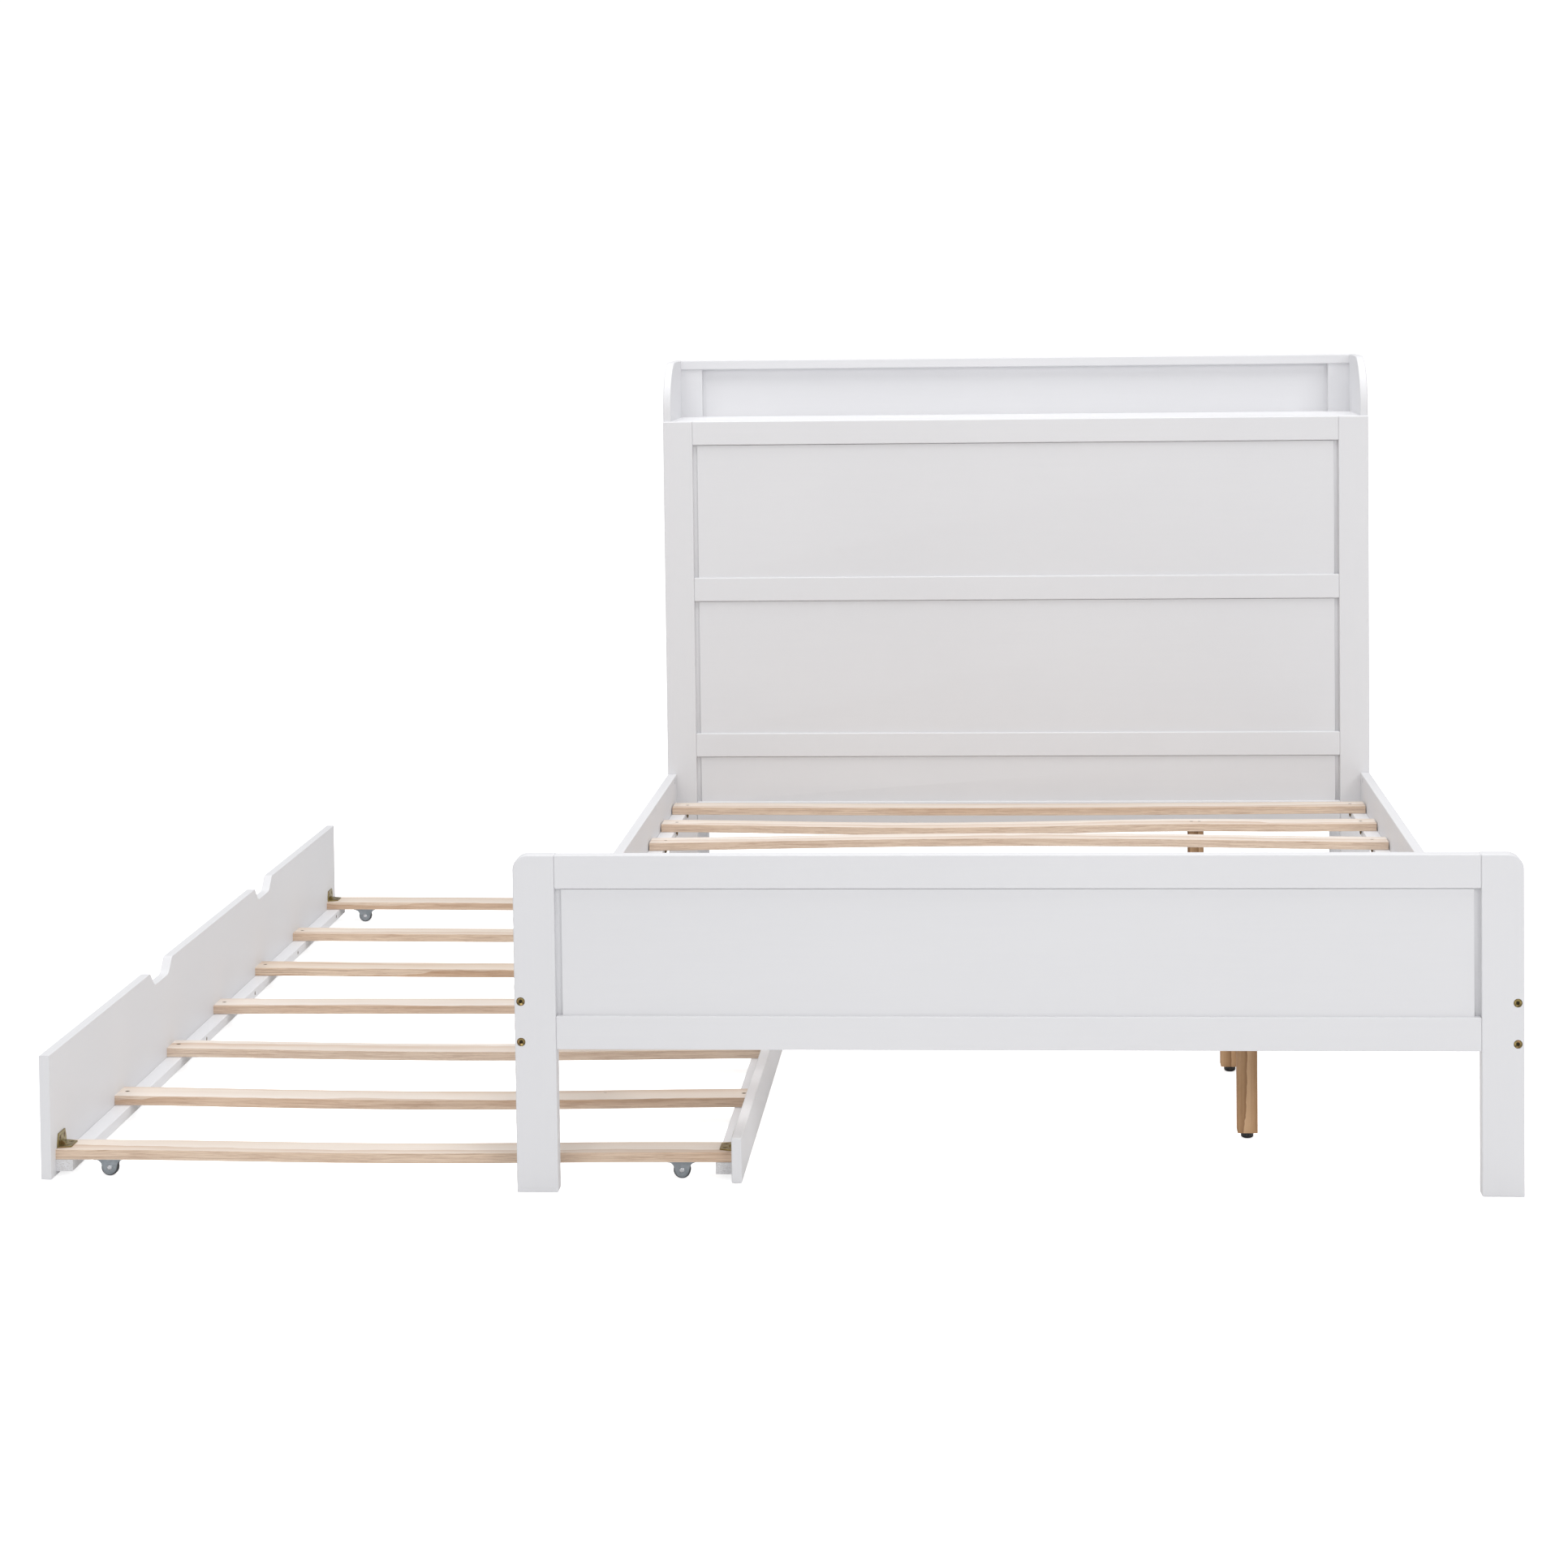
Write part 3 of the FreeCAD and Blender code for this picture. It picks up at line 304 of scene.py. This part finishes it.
def timber_material(name, pale, streak, dark, ring_scale, knots, stain, painted_top_shade=0.0):
    """Planed wood in board coordinates: growth rings, fibres, pores, pin knots and rough-sawn
    narrow faces. The last argument paints shade: it darkens the far end of each board by that
    share, for the shadow that falls there."""
    material, tree, shader = new_material(name, Specular_IOR_Level=0.30, IOR=1.45)
    board = add(tree, "ShaderNodeAttribute", attribute_name="board").outputs["Vector"]
    seed = add(tree, "ShaderNodeAttribute", attribute_name="seed").outputs["Fac"]
    narrow = add(tree, "ShaderNodeAttribute", attribute_name="narrow").outputs["Fac"]
    place = moved(tree, board, (times(tree, seed, 7.3), times(tree, seed, 0.061),
                                times(tree, seed, 0.083)))

    drift = cloud(tree, scaled(tree, place, (1.3, 9.0, 9.0)), 1.0, 2.0)
    log = moved(tree, place, (0.0, times(tree, drift, 0.030), times(tree, drift, 0.022)))
    waves = {"Vector": scaled(tree, log, (0.35, 1.0, 1.0)), "Scale": ring_scale, "Distortion": 1.6,
             "Detail": 3.0, "Detail Scale": 2.0, "Detail Roughness": 0.6}
    rings = add(tree, "ShaderNodeTexWave", waves, wave_type="RINGS", rings_direction="X",
                wave_profile="SAW").outputs["Fac"]
    fibres = cloud(tree, scaled(tree, place, (9.0, 620.0, 620.0)), 1.0, 5.0, 0.62)
    broad = cloud(tree, scaled(tree, place, (2.2, 46.0, 46.0)), 1.0, 3.0, 0.6)
    pores = cloud(tree, scaled(tree, place, (46.0, 1500.0, 1500.0)), 1.0, 2.0, 0.5)

    tone = weighted(tree, (rings, 0.42), (fibres, 0.28), (broad, 0.42))
    colour = ramp(tree, tone, [(0.30, pale), (0.60, streak), (0.88, dark)])
    pore = step_up(tree, pores, 0.66, 0.74)
    colour = mix(tree, times(tree, pore, PORE_COVER), colour, (*dark, 1.0))

    sawn = cloud(tree, scaled(tree, place, (16.0, 160.0, 520.0)), 1.0, 5.0, 0.75, 0.8)
    sawn_dark = times(tree, step_up(tree, sawn, 0.44, 0.70), narrow)
    colour = mix(tree, times(tree, sawn_dark, SAWN_COVER), colour, (*stain, 1.0))
    colour = mix(tree, narrow, colour, (*SAWN_TINT, 1.0), "MULTIPLY")
    board_tone = maths(tree, "FRACT", times(tree, seed, 0.618))
    board_tint = ramp(tree, board_tone, [(0.0, BOARD_TINT), (1.0, grey(1.0))])
    colour = mix(tree, 1.0, colour, board_tint, "MULTIPLY")

    hair = cloud(tree, scaled(tree, place, (3.2, 260.0, 1500.0)), 1.0, 3.0, 0.6, 0.3)
    hair_dark = times(tree, step_up(tree, hair, 0.60, 0.66), narrow)
    colour = mix(tree, times(tree, hair_dark, HAIR_COVER), colour, (*stain, 1.0))
    # painted shade: the board's far end is darkened, for the shadow under the bed
    if painted_top_shade:
        along = add(tree, "ShaderNodeSeparateXYZ", {0: board}).outputs["X"]
        low, high = PAINTED_SHADE_SPAN
        span = {"Value": along, "From Min": low, "From Max": high,
                "To Min": 1.0, "To Max": 1.0 - painted_top_shade}
        share = add(tree, "ShaderNodeMapRange", span).outputs["Result"]
        shade = add(tree, "ShaderNodeCombineColor", {0: share, 1: share, 2: share}).outputs[0]
        colour = mix(tree, 1.0, colour, shade, "MULTIPLY")

    flat = scaled(tree, place, (1.0, 1.0, 0.0))
    cells = add(tree, "ShaderNodeTexVoronoi", {"Vector": flat, "Scale": knots, "Randomness": 1.0},
                feature="F1")
    chosen = add(tree, "ShaderNodeSeparateColor", {0: cells.outputs["Color"]}).outputs[0]
    near = ramp(tree, cells.outputs["Distance"], [(0.012, grey(1)), (0.034, grey(0))])
    knot = times(tree, near, maths(tree, "GREATER_THAN", chosen, KNOT_FREE))
    colour = mix(tree, times(tree, knot, KNOT_COVER), colour, (*KNOT_DARK, 1.0))

    rough = between(tree, fibres, *WOOD_ROUGHNESS)
    raised = weighted(tree, (fibres, 0.6), (times(tree, sawn, narrow), 0.9))
    height = maths(tree, "SUBTRACT", raised, times(tree, pore, 0.5))
    finish_surface(tree, shader, colour, rough, height, WOOD_RELIEF)
    return material


def plated(name, tones, roughness, metallic=1.0, scale=160.0, painted_socket_shade=False):
    """Plated or coated metal: patches of slightly different tones, fine scratches and uneven gloss.
    The last argument paints shade where the mesh's "deep" attribute is 1, inside a drive socket."""
    material, tree, shader = new_material(name, Metallic=metallic)
    place = add(tree, "ShaderNodeTexCoord").outputs["Object"]
    patches = cloud(tree, place, scale, 4.0, 0.6, 0.6)
    scratches = cloud(tree, scaled(tree, place, (240.0, 2600.0, 900.0)), 1.0, 2.0)
    stops = [(0.32 + 0.36 * i / (len(tones) - 1), tone) for i, tone in enumerate(tones)]
    colour = ramp(tree, patches, stops)
    wear = weighted(tree, (patches, 0.6), (scratches, 0.4))
    rough = between(tree, wear, roughness - 0.10, roughness + 0.12)
    # painted shade inside a drive socket
    if painted_socket_shade:
        deep = add(tree, "ShaderNodeAttribute", attribute_name="deep").outputs["Fac"]
        inside = step_up(tree, deep, 0.90, 0.97)
        colour = mix(tree, times(tree, inside, SOCKET_SHADE_COVER), colour, (*SOCKET_PAINTED_SHADE, 1.0))
    finish_surface(tree, shader, colour, rough, scratches, METAL_RELIEF)
    return material


def moulded(name, colour_low, colour_high, roughness):
    """Moulded plastic with a fine matt texture."""
    material, tree, shader = new_material(name, Specular_IOR_Level=0.5, IOR=1.48)
    place = add(tree, "ShaderNodeTexCoord").outputs["Object"]
    clouds = cloud(tree, place, 240.0, 3.0)
    grains = cloud(tree, place, 3600.0, 2.0)
    colour = ramp(tree, clouds, [(0.3, colour_low), (0.7, colour_high)])
    rough = between(tree, clouds, roughness - 0.05, roughness + 0.08)
    finish_surface(tree, shader, colour, rough, grains, PLASTIC_RELIEF)
    return material


PAINT = {axis: white_paint(f"white_paint_{axis}", axis) for axis in "xyz"}
PAINT_CLEAT = white_paint("white_paint_cleat", "y", end_grain=True)
SLAT_WOOD = timber_material(
    "slat_wood", pale=(0.805, 0.745, 0.690), streak=(0.745, 0.655, 0.580), dark=(0.58, 0.43, 0.325),
    ring_scale=9.0, knots=8.0, stain=(0.31, 0.18, 0.115))
# the legs' wood carries painted shade towards their tops
LEG_WOOD = timber_material(
    "leg_wood", pale=(0.62, 0.41, 0.245), streak=(0.44, 0.265, 0.14), dark=(0.22, 0.115, 0.055),
    ring_scale=30.0, knots=3.0, stain=(0.26, 0.12, 0.05), painted_top_shade=LEG_PAINTED_SHADE)
YELLOW_ZINC = plated(
    "yellow_zinc", [(0.40, 0.30, 0.115), (0.27, 0.225, 0.09), (0.37, 0.235, 0.13)], 0.32)
SCREW_ZINC = plated(
    "screw_zinc", [(0.24, 0.165, 0.085), (0.15, 0.115, 0.06), (0.22, 0.125, 0.08)], 0.36)
# bolt heads, with painted shade inside their sockets
BOLT_ZINC = plated(
    "bolt_zinc", [(0.44, 0.32, 0.12), (0.24, 0.19, 0.08), (0.38, 0.22, 0.11)], 0.20, painted_socket_shade=True)
BRIGHT_ZINC = plated("bright_zinc", [(0.66, 0.67, 0.69), (0.52, 0.54, 0.57)], 0.26)
CASTOR_GREY = plated(
    "castor_grey", [(0.36, 0.39, 0.42), (0.28, 0.31, 0.335)], 0.42, metallic=0.75, scale=90.0)
CASTOR_TREAD = moulded("castor_tread", (0.060, 0.064, 0.070), (0.115, 0.120, 0.128), 0.52)
GLIDE_BLACK = moulded("glide_plastic", (0.006, 0.006, 0.007), (0.016, 0.016, 0.018), 0.22)


# ---- mesh pieces ----
def new_piece(name, mesh, material, body, replaced):
    """An object from a bmesh, smoothed by angle, with its material and body, hiding the replaced
    CAD nodes.
    """
    data = bpy.data.meshes.new(name)
    mesh.to_mesh(data)
    mesh.free()
    data.shade_smooth()
    data.set_sharp_from_angle(angle=SMOOTH_ANGLE)
    data.materials.append(material)
    piece = bpy.data.objects.new(name, data)
    bpy.context.scene.collection.objects.link(piece)
    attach(piece, body)
    if replaced:
        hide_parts(*replaced)
    return piece


def soften(piece, width, steps=2, angle=35.0):
    """Rounds the sharp edges a little and keeps flat faces flat."""
    bevel = piece.modifiers.new("ease", "BEVEL")
    bevel.width = width
    bevel.segments = steps
    bevel.limit_method = "ANGLE"
    bevel.angle_limit = math.radians(angle)
    keep_flat(piece)


def keep_flat(piece):
    """Shades by face area, so that broad faces stay flat beside narrow rounded edges."""
    flat = piece.modifiers.new("flat", "WEIGHTED_NORMAL")
    flat.keep_sharp = True


def cad_copy(node):
    """A welded copy of a CAD node's mesh, to work on."""
    mesh = bmesh.new()
    mesh.from_mesh(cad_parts[node].data)
    bmesh.ops.remove_doubles(mesh, verts=mesh.verts, dist=WELD)
    return mesh


def cut(mesh, point, normal):
    """Adds the edges where a plane crosses the mesh."""
    everything = mesh.verts[:] + mesh.edges[:] + mesh.faces[:]
    bmesh.ops.bisect_plane(mesh, geom=everything, dist=WELD, plane_co=point, plane_no=normal)


def islands(mesh):
    """The separate solids of a mesh, as lists of vertices, from the lowest Y."""
    found, seen = [], set()
    for start in mesh.verts:
        if start in seen:
            continue
        group, waiting = [], [start]
        seen.add(start)
        while waiting:
            vert = waiting.pop()
            group.append(vert)
            for edge in vert.link_edges:
                other = edge.other_vert(vert)
                if other not in seen:
                    seen.add(other)
                    waiting.append(other)
        found.append(group)
    return sorted(found, key=lambda group: min(v.co.y for v in group))


def corners_of(group):
    """The lowest and highest corner of a group of vertices."""
    return [Vector([pick(v.co[k] for v in group) for k in range(3)]) for pick in (min, max)]


def timber(node, name, axis, seed, bow, material, body):
    """A wooden piece made from its CAD shape: cut finer along its length, bowed, and given board
    coordinates (along, across, through), a seed for each board, and a mark on its narrow faces."""
    mesh = cad_copy(node)
    along = "xyz".index(axis)
    across = 1 if axis == "x" else 0
    through = 3 - along - across
    low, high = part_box(node)
    step = (high[along] - low[along]) / SLAT_CUTS
    normal = Vector((0, 0, 0))
    normal[along] = 1
    for i in range(1, SLAT_CUTS):
        point = low.copy()
        point[along] += step * i
        cut(mesh, point, normal)
    board = mesh.verts.layers.float_vector.new("board")
    seeds = mesh.verts.layers.float.new("seed")
    narrow = mesh.verts.layers.float.new("narrow")
    for number, group in enumerate(islands(mesh)):
        least, most = corners_of(group)
        middle = [(a + b) / 2 for a, b in zip(least, most)]
        for vert in group:
            place = [vert.co[k] - middle[k] for k in (along, across, through)]
            vert[board] = Vector(place)
            vert[seeds] = seed + number
            half = (most[across] - least[across]) / 2
            vert[narrow] = float(abs(place[1]) > half - NARROW_MARGIN)
            if bow:
                share = (vert.co[along] - least[along]) / (most[along] - least[along])
                vert.co.z += bow(share)
                wave = Vector((share * WAVE_TURNS, seed * WAVE_SPREAD, 0.0))
                vert.co.y += SLAT_WAVE * noise.noise(wave) * math.sin(math.pi * share)
    piece = new_piece(name, mesh, material, body, [node])
    keep_flat(piece)
    return piece


def arc(share, ease):
    """0 at both ends and 1 in the middle; a larger ease keeps the ends straighter."""
    return max(0.0, math.sin(math.pi * min(max(share, 0.0), 1.0))) ** ease


def free_bow(height, ease):
    """A bow held at both ends."""
    return lambda share: height * MM * arc(share, ease)


def propped_bow(height, prop):
    """A bow held at both ends and by a support leg at prop, a share of the length."""
    def shape(share):
        if share < prop:
            return height * MM * arc(share / prop, PROPPED_EASE)
        return height * MM * PROPPED_REST * arc((share - prop) / (1 - prop), PROPPED_EASE)
    return shape


def slats():
    """Bed slats and trundle slats, each with its own bow and grain."""
    leg_low, leg_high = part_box("support_legs")
    legs = cad_copy("support_legs")
    support_y = [sum(v.co.y for v in group) / len(group) for group in islands(legs)]
    legs.free()
    for number, height in BED_BOWS.items():
        node = f"bed_slat_{number:02d}"
        low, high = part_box(node)
        prop = ((leg_low.x + leg_high.x) / 2 - low.x) / (high.x - low.x)
        propped = any(low.y < y < high.y for y in support_y)
        bow = propped_bow(height, prop) if propped else free_bow(height, BED_EASE)
        timber(node, f"{node}_wood", "x", number * BED_SEED_STEP, bow,
               SLAT_WOOD, "bed")
    for number, height in TRUNDLE_BOWS.items():
        node = f"trundle_slat_{number}"
        ease = CASTOR_SLAT_EASE if number in CASTOR_SLATS else TRUNDLE_EASE
        timber(node, f"{node}_wood", "x", TRUNDLE_SEED + number * TRUNDLE_SEED_STEP,
               free_bow(height, ease), SLAT_WOOD, "trundle")


def support_legs():
    """The four wooden legs under the bed slats."""
    timber("support_legs", "support_legs_wood", "z", LEG_SEED, None, LEG_WOOD, "bed")


def revolved(mesh, centre, profile, steps=ROUND_STEPS):
    """Turns (offset along Y, radius) points about the Y axis through centre; returns the rings of
    vertices, whose first and last are left open."""
    rings = []
    for offset, radius in profile:
        ring = []
        for i in range(steps):
            turn = 2 * math.pi * i / steps
            spoke = Vector((radius * math.cos(turn), offset, radius * math.sin(turn)))
            ring.append(mesh.verts.new(centre + spoke))
        rings.append(ring)
    for a, b in zip(rings, rings[1:]):
        for i in range(steps):
            j = (i + 1) % steps
            mesh.faces.new((a[i], b[i], b[j], a[j]))
    return rings


def wheel_profile(radius, half):
    """A wheel's section as (offset along the axle, radius), from one end of its bore, over the
    tread, to the other end."""
    tread = []
    steps = WHEEL_RIBS * RIB_STEPS
    for i in range(steps + 1):
        share = i / steps
        dip = WHEEL_RIB_DEPTH * (0.5 - 0.5 * math.cos(2 * math.pi * share * WHEEL_RIBS))
        tread.append(((share * 2 - 1) * (half - 0.9 * MM), radius - dip))
    rim = radius - WHEEL_RIM
    web = half - WHEEL_HUB_SINK
    side = [(half - 0.25 * MM, radius - 0.7 * MM), (half, radius - 1.1 * MM), (half, rim),
            (web, rim - 0.6 * MM), (web, WHEEL_HUB_R + 0.5 * MM), (half, WHEEL_HUB_R),
            (half, WHEEL_BORE_R)]
    return [(-y, r) for y, r in reversed(side)] + tread + side


def castor_wheels():
    """Moulded wheels: ribbed tread, sunk web and a hub with a bore for the axle."""
    for number in CASTORS:
        node = f"castor_wheel_{number}"
        low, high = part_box(node)
        mesh = bmesh.new()
        profile = wheel_profile((high.z - low.z) / 2, (high.y - low.y) / 2)
        rings = revolved(mesh, (low + high) / 2, profile)
        for i in range(ROUND_STEPS):
            j = (i + 1) % ROUND_STEPS
            mesh.faces.new((rings[-1][i], rings[0][i], rings[0][j], rings[-1][j]))
        bmesh.ops.recalc_face_normals(mesh, faces=mesh.faces)
        piece = new_piece(f"{node}_moulded", mesh, CASTOR_TREAD, f"castor_{number}",
                          [node])
        soften(piece, WHEEL_EASE, 1, WHEEL_EASE_ANGLE)


def tube(mesh, points, radius, steps=8):
    """A round bead along a line of points."""
    previous = None
    for i, point in enumerate(points):
        ahead = points[min(i + 1, len(points) - 1)] - points[max(i - 1, 0)]
        ahead.normalize()
        side = Vector((0, 1, 0))
        up = ahead.cross(side)
        ring = []
        for k in range(steps):
            turn = 2 * math.pi * k / steps
            spoke = side * (radius * math.cos(turn)) + up * (radius * math.sin(turn))
            ring.append(mesh.verts.new(point + spoke))
        if previous:
            for k in range(steps):
                j = (k + 1) % steps
                mesh.faces.new((previous[k], previous[j], ring[j], ring[k]))
        else:
            mesh.faces.new(ring[::-1])
        previous = ring
    mesh.faces.new(previous)


def castor_housings():
    """The pressed housings with softened edges, and the raised rim line outside each cheek."""
    housing = new_piece("castor_housings_pressed", cad_copy("castor_housings"), CASTOR_GREY,
                        "trundle", ["castor_housings"])
    soften(housing, METAL_EASE)
    beads = bmesh.new()
    radius = CHEEK_R - BEAD_INSET
    rise = Vector((math.sin(CHEEK_LEAN), 0, math.cos(CHEEK_LEAN))) * BEAD_RISE
    for number in CASTORS:
        low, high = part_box(f"castor_wheel_{number}")
        centre = (low + high) / 2
        for side in (-1, 1):
            face_y = centre.y + side * (CHEEK_HALF_GAP + CHEEK_SHEET)
            line = []
            for i in range(BEAD_STEPS + 1):
                turn = -CHEEK_LEAN - (math.pi - 2 * CHEEK_LEAN) * i / BEAD_STEPS
                line.append(Vector((centre.x + radius * math.cos(turn), face_y,
                                    centre.z + radius * math.sin(turn))))
            first = line[0] + rise
            last = line[-1] + Vector((-rise.x, 0, rise.z))
            tube(beads, [first] + line + [last], BEAD_R)
    bmesh.ops.recalc_face_normals(beads, faces=beads.faces)
    new_piece("castor_rim_beads", beads, CASTOR_GREY, "trundle", [])


def castor_rivets():
    """The riveted axles: a pin and a domed, slightly dished head outside each cheek."""
    mesh = bmesh.new()
    reach = CHEEK_HALF_GAP + CHEEK_SHEET
    # (height above the cheek, radius) in mm, from the dome's edge to its middle
    rise = [(0.0, 3.8), (0.35, 3.75), (0.75, 3.3), (1.05, 2.4), (1.15, 1.5), (1.02, 0.8),
            (0.95, 0.05)]
    dome = [(reach + y * MM, r * MM) for y, r in rise]
    profile = [(-y, r) for y, r in reversed(dome)] + [(-reach, AXLE_R), (reach, AXLE_R)] + dome
    for number in CASTORS:
        low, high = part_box(f"castor_wheel_{number}")
        rings = revolved(mesh, (low + high) / 2, profile, AXLE_STEPS)
        mesh.faces.new(rings[0][::-1])
        mesh.faces.new(rings[-1])
    bmesh.ops.recalc_face_normals(mesh, faces=mesh.faces)
    new_piece("castor_rivets", mesh, BRIGHT_ZINC, "trundle", ["castor_axles"])


def corner_braces():
    """The zinc plated braces with softened pressed edges."""
    piece = new_piece("corner_braces_pressed", cad_copy("corner_braces"), YELLOW_ZINC,
                      "trundle", ["corner_braces"])
    soften(piece, BRACE_EASE)


def frame_bolts():
    """The frame bolts: heads slightly dished towards a hex socket, with painted shade inside it."""
    mesh = cad_copy("frame_bolts")
    deep = mesh.verts.layers.float.new("deep")
    for group in islands(mesh):
        low, high = corners_of(group)
        middle = (low + high) / 2
        reach = {v: math.hypot(v.co.x - middle.x, v.co.z - middle.z) for v in group}
        head = max(group, key=reach.get)
        way = 1.0 if head.co.y < middle.y else -1.0
        face_y = low.y if way > 0 else high.y
        for vert in group:
            # the socket's vertices are marked for the painted shade
            if reach[vert] < SOCKET_REACH:
                vert[deep] = 1.0
                if abs(vert.co.y - face_y) < WELD:
                    vert.co.y += BOLT_DISH * way
    piece = new_piece("frame_bolts_plated", mesh, BOLT_ZINC, "bed", ["frame_bolts"])
    soften(piece, METAL_EASE)


FRAMED_PANELS = ["foot_panel", "head_upper_panel", "head_middle_panel", "head_lower_panel"]


def panel_gaps():
    """Panels whose upper edge falls back, which leaves the narrow dark gap under the rail above."""
    for node in FRAMED_PANELS:
        mesh = cad_copy(node)
        face_y = min(v.co.y for v in mesh.verts)
        front = [v for v in mesh.verts if v.co.y < face_y + WELD]
        rail_z = max(v.co.z for v in front)
        cut(mesh, Vector((0, 0, rail_z - PANEL_GAP)), Vector((0, 0, 1)))
        for vert in mesh.verts:
            if vert.co.y < face_y + WELD and vert.co.z > rail_z - WELD:
                vert.co.y += PANEL_GAP_DEPTH
        keep_flat(new_piece(f"{node}_painted", mesh, PAINT["x"], "bed", [node]))


# ---- carried-over CAD nodes ----
LENGTHWISE = {
    "foot_leg_left": "z", "foot_leg_right": "z", "head_post_left": "z", "head_post_right": "z",
    "rear_post_left": "z", "rear_post_right": "z",
    "shelf_bracket_left": "z", "shelf_bracket_right": "z",
    "side_rail_left": "y", "side_rail_right": "y", "slat_cleat_left": "y", "slat_cleat_right": "y",
    "trundle_front_panel": "y", "trundle_back_panel": "y", "head_stretchers": "y",
}
OTHER_FINISH = {
    "trundle_front_cleat": PAINT_CLEAT, "trundle_back_cleat": PAINT_CLEAT,
    "support_glides": GLIDE_BLACK, "bed_screws": SCREW_ZINC, "trundle_screws": SCREW_ZINC,
    "cross_nuts": BRIGHT_ZINC,
}


def paint_nodes():
    """Gives every CAD node that still shows its material."""
    for name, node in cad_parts.items():
        material = OTHER_FINISH.get(name) or PAINT[LENGTHWISE.get(name, "x")]
        for holder in node.material_slots:
            holder.material = material


# ---- studio ----
def floor():
    """A plain pale floor, which a camera sees as pale as the surround."""
    mesh = bmesh.new()
    corners = [(-FLOOR_HALF, -FLOOR_HALF), (FLOOR_HALF, -FLOOR_HALF), (FLOOR_HALF, FLOOR_HALF),
               (-FLOOR_HALF, FLOOR_HALF)]
    mesh.faces.new([mesh.verts.new((x, y, 0.0)) for x, y in corners])
    data = bpy.data.meshes.new("floor")
    mesh.to_mesh(data)
    mesh.free()
    holder = bpy.data.objects.new("floor", data)
    bpy.context.scene.collection.objects.link(holder)
    material, tree, shader = new_material("floor", Roughness=0.9, Specular_IOR_Level=0.1)
    place = add(tree, "ShaderNodeTexCoord").outputs["Object"]
    tones = [(0.3, grey(FLOOR_TONE)), (0.7, grey(FLOOR_TONE * FLOOR_MOTTLE))]
    colour = ramp(tree, cloud(tree, place, 0.6, 2.0), tones)
    tree.links.new(colour, shader.inputs["Base Color"])
    shader.inputs["Emission Color"].default_value = (1.0, 1.0, 1.0, 1.0)
    seen = add(tree, "ShaderNodeLightPath").outputs["Is Camera Ray"]
    tree.links.new(times(tree, seen, FLOOR_GLOW), shader.inputs["Emission Strength"])
    material.cycles.emission_sampling = "NONE"
    data.materials.append(material)


def surround():
    """A soft sky that lights the object, and the white surround that a camera sees instead."""
    world = bpy.data.worlds.new("studio")
    world.use_nodes = True
    sky = world.node_tree
    background = next(n for n in sky.nodes if n.type == "BACKGROUND")
    background.inputs["Color"].default_value = (*SKY_COLOUR, 1.0)
    background.inputs["Strength"].default_value = SKY_STRENGTH
    white = add(sky, "ShaderNodeBackground", {"Color": (1.0, 1.0, 1.0, 1.0), "Strength": SURROUND})
    seen = add(sky, "ShaderNodeLightPath").outputs["Is Camera Ray"]
    both = add(sky, "ShaderNodeMixShader", {0: seen, 1: background.outputs[0], 2: white.outputs[0]})
    output = next(n for n in sky.nodes if n.type == "OUTPUT_WORLD")
    sky.links.new(both.outputs[0], output.inputs["Surface"])
    bpy.context.scene.world = world
    bpy.context.scene.view_settings.view_transform = "Standard"


def lamps():
    """Three soft disc lamps."""
    for name, place, target, size, watts, colour in LAMPS:
        lamp = bpy.data.lights.new(name, "AREA")
        lamp.shape = "DISK"
        lamp.size = size
        lamp.energy = watts
        lamp.color = colour
        holder = bpy.data.objects.new(name, lamp)
        holder.location = place
        aim = Vector(place) - Vector(target)
        holder.rotation_euler = aim.to_track_quat("Z", "Y").to_euler()
        bpy.context.scene.collection.objects.link(holder)


def camera():
    """The camera, placed from the footboard."""
    low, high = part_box("foot_top_rail")
    data = bpy.data.cameras.new("camera")
    data.lens = LENS
    data.sensor_width = SENSOR
    data.shift_x, data.shift_y = SHIFT
    holder = bpy.data.objects.new("camera", data)
    middle = (low.x + high.x) / 2
    holder.location = (middle + CAMERA_SIDE, CAD_BOX[0].y - CAMERA_BACK, CAMERA_HEIGHT)
    aim = Euler((math.radians(90 + CAMERA_PITCH), 0, math.radians(CAMERA_YAW)), "XYZ").to_matrix()
    roll = Euler((0, 0, math.radians(CAMERA_ROLL)), "XYZ").to_matrix()
    holder.rotation_euler = (aim @ roll).to_euler()
    bpy.context.scene.collection.objects.link(holder)
    bpy.context.scene.camera = holder


camera()
floor()
surround()
lamps()
slats()
support_legs()
castor_wheels()
castor_housings()
castor_rivets()
corner_braces()
frame_bolts()
panel_gaps()
paint_nodes()
